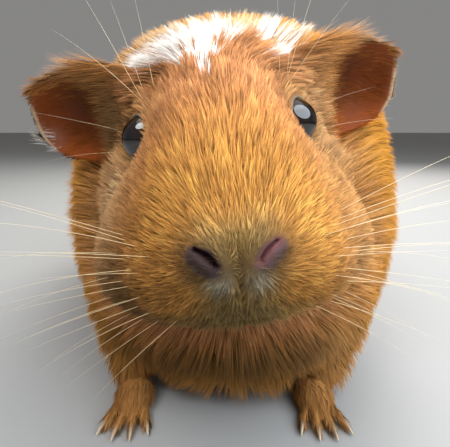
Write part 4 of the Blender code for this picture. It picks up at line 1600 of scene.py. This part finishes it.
        draw, root["lock"] = self.gather(place, tip, lie, lump)
        aim = unit(root["aim"] + rng.normal(0, 0.09, (count, 3)) + 0.25 * n)
        draw += root["fringe"][:, None] * (place + 0.95 * length[:, None] * aim - tip - 0.6 * draw)
        base, w = place - 0.25 * n, (width * 0.5)[:, None]
        points = np.stack((base - side * w, base + n * w * 0.8, base + side * w, tip + draw), 1)
        normals = np.stack((unit(n * 0.8 - side * 0.45), n, unit(n * 0.8 + side * 0.45), unit(n + 0.25 * lie)), 1)
        faces = (BLADE_TRIS[None] + (np.arange(count) * len(BLADE_SPOTS))[:, None, None]).reshape(-1, 3)
        colours = self.shade(root, rng)
        return (points.reshape(-1, 3), normals.reshape(-1, 3), faces, colours.reshape(-1, 3),
                np.tile(BLADE_SPOTS, (count, 1)))

    def shade(self, root: dict[str, Array], rng: np.random.Generator) -> Array:
        """Colours along each tuft: darker at the root, partly the hair's own colour and partly painted shade between
        the tufts, paler at the tip, each tuft a little its own.

        Args:
            root: one row per root.
            rng: source of chance.
        Returns:
            One colour per point of each tuft.
        """
        count = len(root["room"])
        base = self.markings.coat(root["room"], root["place"], root["ear"], crest=False)
        spread = 0.20 + 0.16 * root["head"]
        lock = (0.07 + 0.08 * root["head"]) * root["lock"]
        tone = np.exp(np.clip(rng.normal(0, 1, count), -1.8, 1.0) * spread + 0.08 * waves(root["room"], 6.0, 9) + lock)
        tone = tone[:, None] * np.exp(rng.normal(0, 1, count) * 0.16 * root["hollow"])[:, None]
        warm = rng.normal(0, 0.05, count)[:, None] * np.array((0.3, -0.4, -1.2))
        white = self.markings.crest(root["place"])
        stray = (rng.normal(0, 0.15, count) + 0.22 * root["lock"]) * ramp(white, 0.0, 0.25)
        pale = np.clip(3.0 * (white - 0.70 + stray) + 0.5, 0, 1)[:, None]
        tone = tone * (1 - pale) + pale * (0.94 + 0.06 * tone)
        base = base * tone * (1 + warm * (1 - pale))
        base = base * (1 - pale) + self.markings.white * (0.92 + 0.08 * tone) * pale
        # dark roots: partly the hair's own colour, partly painted shade between the tufts
        depth = 0.36 * (1 - pale) + pale * 0.86
        tip = base * (1 - pale) * 1.14 + base * pale
        tip = tip + (1 - pale) * 0.05 * (self.markings.cream - tip)
        return np.clip(np.stack([base * depth] * 3 + [tip], 1), 0, 0.97)

    def chart(self, root: dict[str, Array]) -> Array:
        """Where each root lies on an unwrap of the skin: body and legs by turn and length, face as a disc.

        Args:
            root: one row per root.
        Returns:
            Two numbers from 0 to 1 per root.
        """
        rx, ry, rz = root["room"].T
        x, s, h = root["place"].T
        turn = np.arctan2(rx, rz - 62.0) / (2 * math.pi) + 0.5
        chart = np.stack((0.02 + 0.96 * turn, 0.02 + 0.56 * np.clip((ry + 100) / 232, 0, 1)), -1)
        round_ = np.arctan2(x, h + 3.0)
        reach = 0.155 * np.clip((s + 0.5 * np.hypot(x, h + 3)) / 95.0, 0, 1)
        disc = np.stack((0.18 + reach * np.sin(round_), 0.80 + reach * np.cos(round_)), -1)
        chart = np.where((root["head"] > 0.5)[:, None], disc, chart)
        for number, side in enumerate(Side):
            own = self.skin.ear.own(root["place"], side)
            flat = np.stack((0.38 + 0.14 * number + 0.12 * np.clip(own[:, 0] / 27, 0, 1),
                             0.64 + 0.14 * np.clip((own[:, 1] + 15) / 34, 0, 1) + 0.17 * (root["hollow"] > 0.4)), -1)
            chart = np.where(((root["ear"] > 0.4) & (x * side.value > 0))[:, None], flat, chart)
        for number, (fore, left) in enumerate(((True, False), (True, True), (False, False), (False, True))):
            mine = ((root["leg"] + root["paw"]) > 0.6) & ((ry < 0) == fore) & ((rx > 0) == left)
            centre = (32.0, -80.0) if fore else (37.0, 70.0)
            angle = np.arctan2(np.abs(rx) - centre[0], ry - centre[1]) / (2 * math.pi) + 0.5
            flat = np.stack((0.68 + 0.14 * (number % 2) + 0.12 * angle,
                             0.64 + 0.17 * (number // 2) + 0.14 * np.clip(rz / 56, 0, 1)), -1)
            chart = np.where(mine[:, None], flat, chart)
        return chart

    def grow(self, web: Web, at: dict[str, Array], patch: Patch, finish: bpy.types.Material) -> bpy.types.Object:
        """Makes one piece of the coat.

        Args:
            web: the skin.
            at: what survey found.
            patch: which part, and how its tufts are built.
            finish: the hair's material.
        Returns:
            The piece.
        """
        covered = patch.covers(at).astype(float)[web.tris].mean(1) > 0.5
        root = self.scatter(web, at, covered)
        points, normals, faces, colours, where = self.tufts(root, patch.lump)
        points[:, 2] = np.maximum(points[:, 2], 0.05)
        mesh = make_mesh(patch.name, points, tris=faces, normals=normals)
        paint(mesh, colours)
        layer = mesh.uv_layers.new(name="OFBake")
        spot = np.repeat(self.chart(root), len(BLADE_SPOTS), axis=0) + 0.003 * where
        layer.data.foreach_set("uv", spot[faces.ravel()].astype(np.float32).ravel())
        LOG.info("%s: %d tufts, %d triangles", patch.name, len(root["room"]), len(faces))
        return dress(link(patch.name, mesh), finish)


def patches() -> list[Patch]:
    """The coat's pieces, each a part of the body."""

    def face(at: dict[str, Array]) -> NDArray[np.bool_]:
        """Head in front of the crown, without the ears."""
        return (at["head"] > 0.5) & (at["place"][:, 1] < 50) & (at["ear"] <= 0.4)

    def ears(at: dict[str, Array]) -> NDArray[np.bool_]:
        """The ears and the hair along their roots."""
        return (at["ear"] > 0.4) | (at["fringe"] > 0.5)

    def feet(at: dict[str, Array]) -> NDArray[np.bool_]:
        """The four paws."""
        return at["paw"] > 0.5

    def band(low: float, high: float) -> Cover:
        """All that is neither face, ear nor paw, between two places along the body."""
        return lambda at: (~(face(at) | feet(at) | ears(at)) & (at["room"][:, 1] >= low)
                           & (at["room"][:, 1] < high))

    shoulder, crown_floor, brow = -48, 62, 26
    ahead = band(-math.inf, shoulder)
    return [
        Patch("coat_muzzle", 0.9, lambda at: face(at) & (at["place"][:, 1] < brow)),
        Patch("coat_cheeks", 1.4, lambda at: face(at) & (at["place"][:, 1] >= brow) & ~ears(at)),
        Patch("coat_ears", 1.3, ears),
        Patch("coat_feet", 1.0, feet),
        Patch("coat_crown", 1.8, lambda at: ahead(at) & (at["room"][:, 2] > crown_floor)),
        Patch("coat_chest", 2.0, lambda at: ahead(at) & (at["room"][:, 2] <= crown_floor)),
        *(Patch(f"coat_{name}", 2.2, band(low, high)) for name, low, high in (
            ("shoulders", shoulder, -10), ("back", -10, 29), ("loins", 29, 64), ("haunches", 64, 96),
            ("rump", 96, 200))),
    ]


# ---------------------------------------------------------------------------------------------
# eyes, claws and whiskers


@dataclass
class Eyes:
    """Two dark eyeballs with a slight cornea, each standing for its solid."""

    form: Form
    cornea: float = 0.35
    black: Array = chip(7, 5, 6)
    brown: Array = chip(26, 15, 10)
    edge: Array = chip(10, 8, 8)

    def build(self, side: Side, finish: bpy.types.Material) -> bpy.types.Object:
        """A ball whose radius grows by a bell over the iris; iris brown round a black pupil.

        Args:
            side: which eye.
            finish: the eye's material.
        Returns:
            The eyeball.
        """
        centre, out, up, front = self.form.eye_frame(side)
        polar, turn = np.linspace(0.02, math.pi - 0.02, 72)[:, None], full_turn(96)[None]
        radius = self.form.eye_radius + self.cornea * np.exp(-((polar / 0.62) ** 2))
        grid = (centre + (radius * np.cos(polar))[..., None] * out
                + (radius * np.sin(polar) * np.cos(turn))[..., None] * front
                + (radius * np.sin(polar) * np.sin(turn))[..., None] * up)
        work = Patchwork()
        work.add_tube(grid)
        mesh = work.mesh(f"eyeball_{side.name.lower()}")
        points, _, _ = read_mesh(mesh)
        off = np.arccos(np.clip(unit(points - centre) @ out, -1, 1))
        iris = ramp(off, 0.42, 0.50) * (1 - ramp(off, 0.86, 1.0))
        paint(mesh, self.black + iris[:, None] * (self.brown - self.black) + ramp(off, 0.98, 1.1)[:, None] * self.edge)
        obj = dress(link(mesh.name, mesh), finish)
        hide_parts(f"eye_{side.letter}")
        return obj


@dataclass
class Claws:
    """The fourteen claws, as slim curved horns."""

    form: Form
    rows: Rows = ((0.0, 0.70, 0.25), (0.35, 0.62, 0.30), (0.7, 0.44, -0.05), (0.93, 0.22, -0.58), (1.0, 0.07, -0.75))
    around: int = 16
    dark: Array = chip(128, 98, 72)
    pale: Array = chip(196, 174, 144)

    def build(self, finish: bpy.types.Material) -> bpy.types.Object:
        """Each claw is a round profile carried along a falling curve that narrows to a blunt point.

        Args:
            finish: the horn's material.
        Returns:
            All claws as one piece.
        """
        work, names, shades = Patchwork(), [], []
        t = np.linspace(0, 1, 18)
        rows = curve(self.rows, t)
        for paw, places, word in ((FOREPAW, self.form.forepaw_at, "fore"), (HINDPAW, self.form.hindpaw_at, "hind")):
            for side, at in zip(Side, places):
                for number, (base, ahead, reach) in enumerate(paw.toe_axes(at), 1):
                    radius = rows[:, 0] * (paw.claw / 5.0) ** 0.5
                    along = reach * 0.96 - 1.2 + t * (paw.claw + 1.2)
                    high = 1.35 + rows[:, 1] * paw.claw / 5.0
                    flat = np.array((base[0], base[1], 0.0))
                    work.add_tube(floor_tube(flat, ahead, along, radius, high, 1.2, 0.05, self.around))
                    shades += [np.repeat(t, self.around), np.array((0.0, 1.0))]
                    names.append(f"claw_{word}_{side.letter}_{number}")
        mesh = work.mesh("claws")
        share = np.concatenate(shades)[:, None]
        paint(mesh, self.dark * (1 - share) + self.pale * share)
        obj = dress(link("claws", mesh), finish)
        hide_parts(*names)
        return obj


@dataclass
class Whiskers:
    """Long tapered hairs on the muzzle, cheeks and brows."""

    form: Form
    seed: int = 77
    thick: float = 0.12
    rows: int = 5
    per_row: int = 4
    rings: int = 12
    limit: tuple[float, float, float] = (68.0, 142.0, 131.0)
    brows: tuple[tuple[tuple[float, ...], tuple[float, ...], float], ...] = (
        ((17.0, 41.0, 20.5), (0.42, 0.35, 1.0), 30), ((16.0, 44.0, 21.5), (0.25, 0.5, 1.0), 27),
        ((18.5, 43.0, 20.0), (0.7, 0.3, 0.8), 26), ((24.0, 57.0, 8.0), (1.0, 0.15, 0.35), 28),
        ((26.0, 58.0, 3.0), (1.0, 0.2, 0.1), 26), ((15.0, 46.0, 22.0), (0.1, 0.5, 1.0), 24))
    root_colour: Array = chip(226, 186, 120)
    tip_colour: Array = chip(250, 236, 208)

    def roots(self, rng: np.random.Generator) -> tuple[Array, Array, Array]:
        """Rows of roots on the muzzle and small groups above and behind the eye.

        Args:
            rng: source of chance.
        Returns:
            Roots and directions in head axes, and lengths.
        """
        start, way, length = [], [], []
        for sign in (1.0, -1.0):
            for row in range(self.rows):
                for spot in range(self.per_row):
                    s = 5.5 + 4.0 * spot + rng.uniform(-0.6, 0.6)
                    h = -0.5 - 3.4 * row - 0.25 * s + rng.uniform(-0.4, 0.4)
                    x = 12.2 + 0.34 * s - 0.05 * (h + 8) ** 2 * 0.5
                    start.append((sign * x, s, h))
                    way.append((sign * (1.0 + 0.02 * s), 0.10 + 0.30 * spot / 3 + rng.uniform(-0.10, 0.20),
                                0.34 - 0.30 * row + rng.uniform(-0.18, 0.14)))
                    length.append(rng.uniform(24, 40) + 7.0 * spot)
            for root, goes, long_ in self.brows:
                start.append((sign * (root[0] + rng.uniform(-1, 1)), root[1] + rng.uniform(-1, 1), root[2]))
                way.append((sign * goes[0], goes[1], goes[2]))
                length.append(long_ + rng.uniform(-3, 3))
        return np.array(start), unit(np.array(way)), np.array(length, float)

    def build(self, finish: bpy.types.Material) -> bpy.types.Object:
        """Each whisker is a four-sided tube along a line that droops with the square of its length.

        Args:
            finish: the whiskers' material.
        Returns:
            All whiskers as one piece.
        """
        rng = np.random.default_rng(self.seed)
        start, way, length = self.roots(rng)
        count, rings = len(start), self.rings
        t = np.linspace(0, 1, rings)[None, :, None]
        begin, ahead, limit = self.form.pose.to_room(start), self.form.pose.way(way), np.array(self.limit)
        droop = rng.uniform(0.04, 0.16, count)[:, None, None] * length[:, None, None] * np.array((0, 0.5, -1.0))
        over = np.max(np.abs(begin + ahead * length[:, None] + droop[:, 0]) / limit, axis=1)
        length = length * np.clip(np.where(over > 1, 0.93 / over, 1.0), 0.5, 1)
        line = begin[:, None] + ahead[:, None] * (t * length[:, None, None]) + droop * t**2
        line = np.clip(line - ahead[:, None] * 2.0, (-limit[0], -limit[1], 0.5), limit)
        side = unit(np.cross(ahead, (0.1, 0.2, 1.0)))[:, None]
        up = np.cross(side, ahead[:, None])
        radius = self.thick * 0.5 * (1.0 - 0.86 * t) * np.clip(length / 30, 0.8, 1.2)[:, None, None]
        corners = [math.cos(a) * side + math.sin(a) * up for a in (0, math.pi / 2, math.pi, 3 * math.pi / 2)]
        points = np.stack([line + radius * corner for corner in corners], axis=2)
        last = rings * 4 - 1
        one = np.concatenate((grid_faces(rings, 4), ((0, 1, 2, 3), (last, last - 1, last - 2, last - 3))))
        faces = (one[None] + (np.arange(count) * rings * 4)[:, None, None]).reshape(-1, 4)
        mesh = make_mesh("whiskers", points.reshape(-1, 3), faces)
        face_outwards(mesh)
        shade = np.broadcast_to(t, (count, rings, 1)).repeat(4, axis=1).reshape(-1, 1)
        paint(mesh, self.root_colour * (1 - shade) + self.tip_colour * shade)
        return dress(link("whiskers", mesh), finish)


# ---------------------------------------------------------------------------------------------
# the studio


@dataclass
class Studio:
    """A pale floor, soft lights and the camera."""

    camera_at: tuple[float, float, float] = (-0.003, -0.1898, 0.080)
    tilt: float = 13.0
    lens: float = 32.0
    sensor: float = 36.0
    sees: tuple[float, float] = (0.005, 20.0)
    floor_half: float = 30000.0
    floor_tone: tuple[float, float, float] = (0.32, 0.315, 0.305)
    floor_roughness: float = 0.75
    sky: tuple[float, float, float] = (1.0, 0.99, 0.97)
    sky_strength: float = 0.24
    lamps: tuple[tuple[Any, ...], ...] = (
        ("key", (0.37, -0.34, 0.52), (0.0, -0.07, 0.07), 0.76, 7.8, (0.82, 0.91, 1.0)),
        ("sky", (0.02, -0.06, 0.90), (0.0, -0.02, 0.07), 1.10, 3.2, (0.98, 0.99, 1.0)),
        ("fill", (-0.30, -0.40, 0.78), (0.0, -0.09, 0.07), 0.46, 4.2, (0.97, 0.99, 1.0)),
        ("rim", (0.22, 0.55, 0.55), (0.0, 0.0, 0.09), 0.50, 7.0, (1.0, 0.98, 0.95)))

    @staticmethod
    def light(name: str, at: Sequence[float], aim: Sequence[float], size: float, power: float,
              tint: Sequence[float]) -> None:
        """A round soft light at a place, turned to its aim.

        Args:
            name: the light's name.
            at: where it is, in metres.
            aim: what it faces.
            size: its diameter.
            power: watts.
            tint: its colour.
        """
        data = bpy.data.lights.new(name, "AREA")
        data.shape, data.size, data.energy, data.color = "DISK", size, power, tuple(tint)
        obj = link(name, data)
        obj.location = at
        look = unit(np.array(aim) - np.array(at))
        obj.rotation_euler = (math.acos(float(np.clip(-look[2], -1, 1))), 0.0, math.atan2(look[0], -look[1]) + math.pi)

    def build(self) -> None:
        """Sets up floor, lights, sky and camera."""
        scene = bpy.context.scene
        t = np.linspace(-1, 1, 3) * self.floor_half
        x, y = np.meshgrid(t, t, indexing="ij")
        points = np.stack((x, y, 0 * x), -1).reshape(-1, 3)
        i, j = np.meshgrid(np.arange(2), np.arange(2), indexing="ij")
        quads = np.stack((i * 3 + j, (i + 1) * 3 + j, (i + 1) * 3 + j + 1, i * 3 + j + 1), -1).reshape(-1, 4)
        floor = link("floor", make_mesh("floor", points, quads))
        material = bpy.data.materials.new("floor")
        material.use_nodes = True
        shader = material.node_tree.nodes["Principled BSDF"]
        shader.inputs["Base Color"].default_value = (*self.floor_tone, 1.0)
        shader.inputs["Roughness"].default_value = self.floor_roughness
        floor.data.materials.append(material)
        for lamp in self.lamps:
            self.light(*lamp)
        world = bpy.data.worlds.new("studio")
        scene.world = world
        world.use_nodes = True
        back = world.node_tree.nodes["Background"]
        back.inputs["Color"].default_value = (*self.sky, 1.0)
        back.inputs["Strength"].default_value = self.sky_strength
        camera = bpy.data.cameras.new("camera")
        camera.lens, camera.sensor_width = self.lens, self.sensor
        camera.clip_start, camera.clip_end = self.sees
        obj = link("camera", camera)
        obj.location = self.camera_at
        obj.rotation_euler = (math.radians(90.0 - self.tilt), 0.0, 0.0)
        scene.camera = obj
        scene.view_settings.view_transform = "Standard"


def main() -> None:
    """Builds the skin, coat, eyes, claws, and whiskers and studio."""
    logging.basicConfig(level=logging.INFO, format="%(message)s")
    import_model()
    form = Form()
    skin = Skin(form)
    markings = Markings(form, skin)
    made = skin.build()
    coat = Coat(form, skin, markings, amount=1.0)
    web, at = coat.survey(made.data)
    skin.finish(made, at, markings.bare(at["room"], at["place"], at["ear"]))
    hair = COAT.make()
    for patch in patches():
        coat.grow(web, at, patch, hair)
    for side in Side:
        Eyes(form).build(side, EYE.make())
    Claws(form).build(CLAW.make())
    Whiskers(form).build(WHISKER.make())
    Studio().build()


if __name__ == "__main__":
    main()
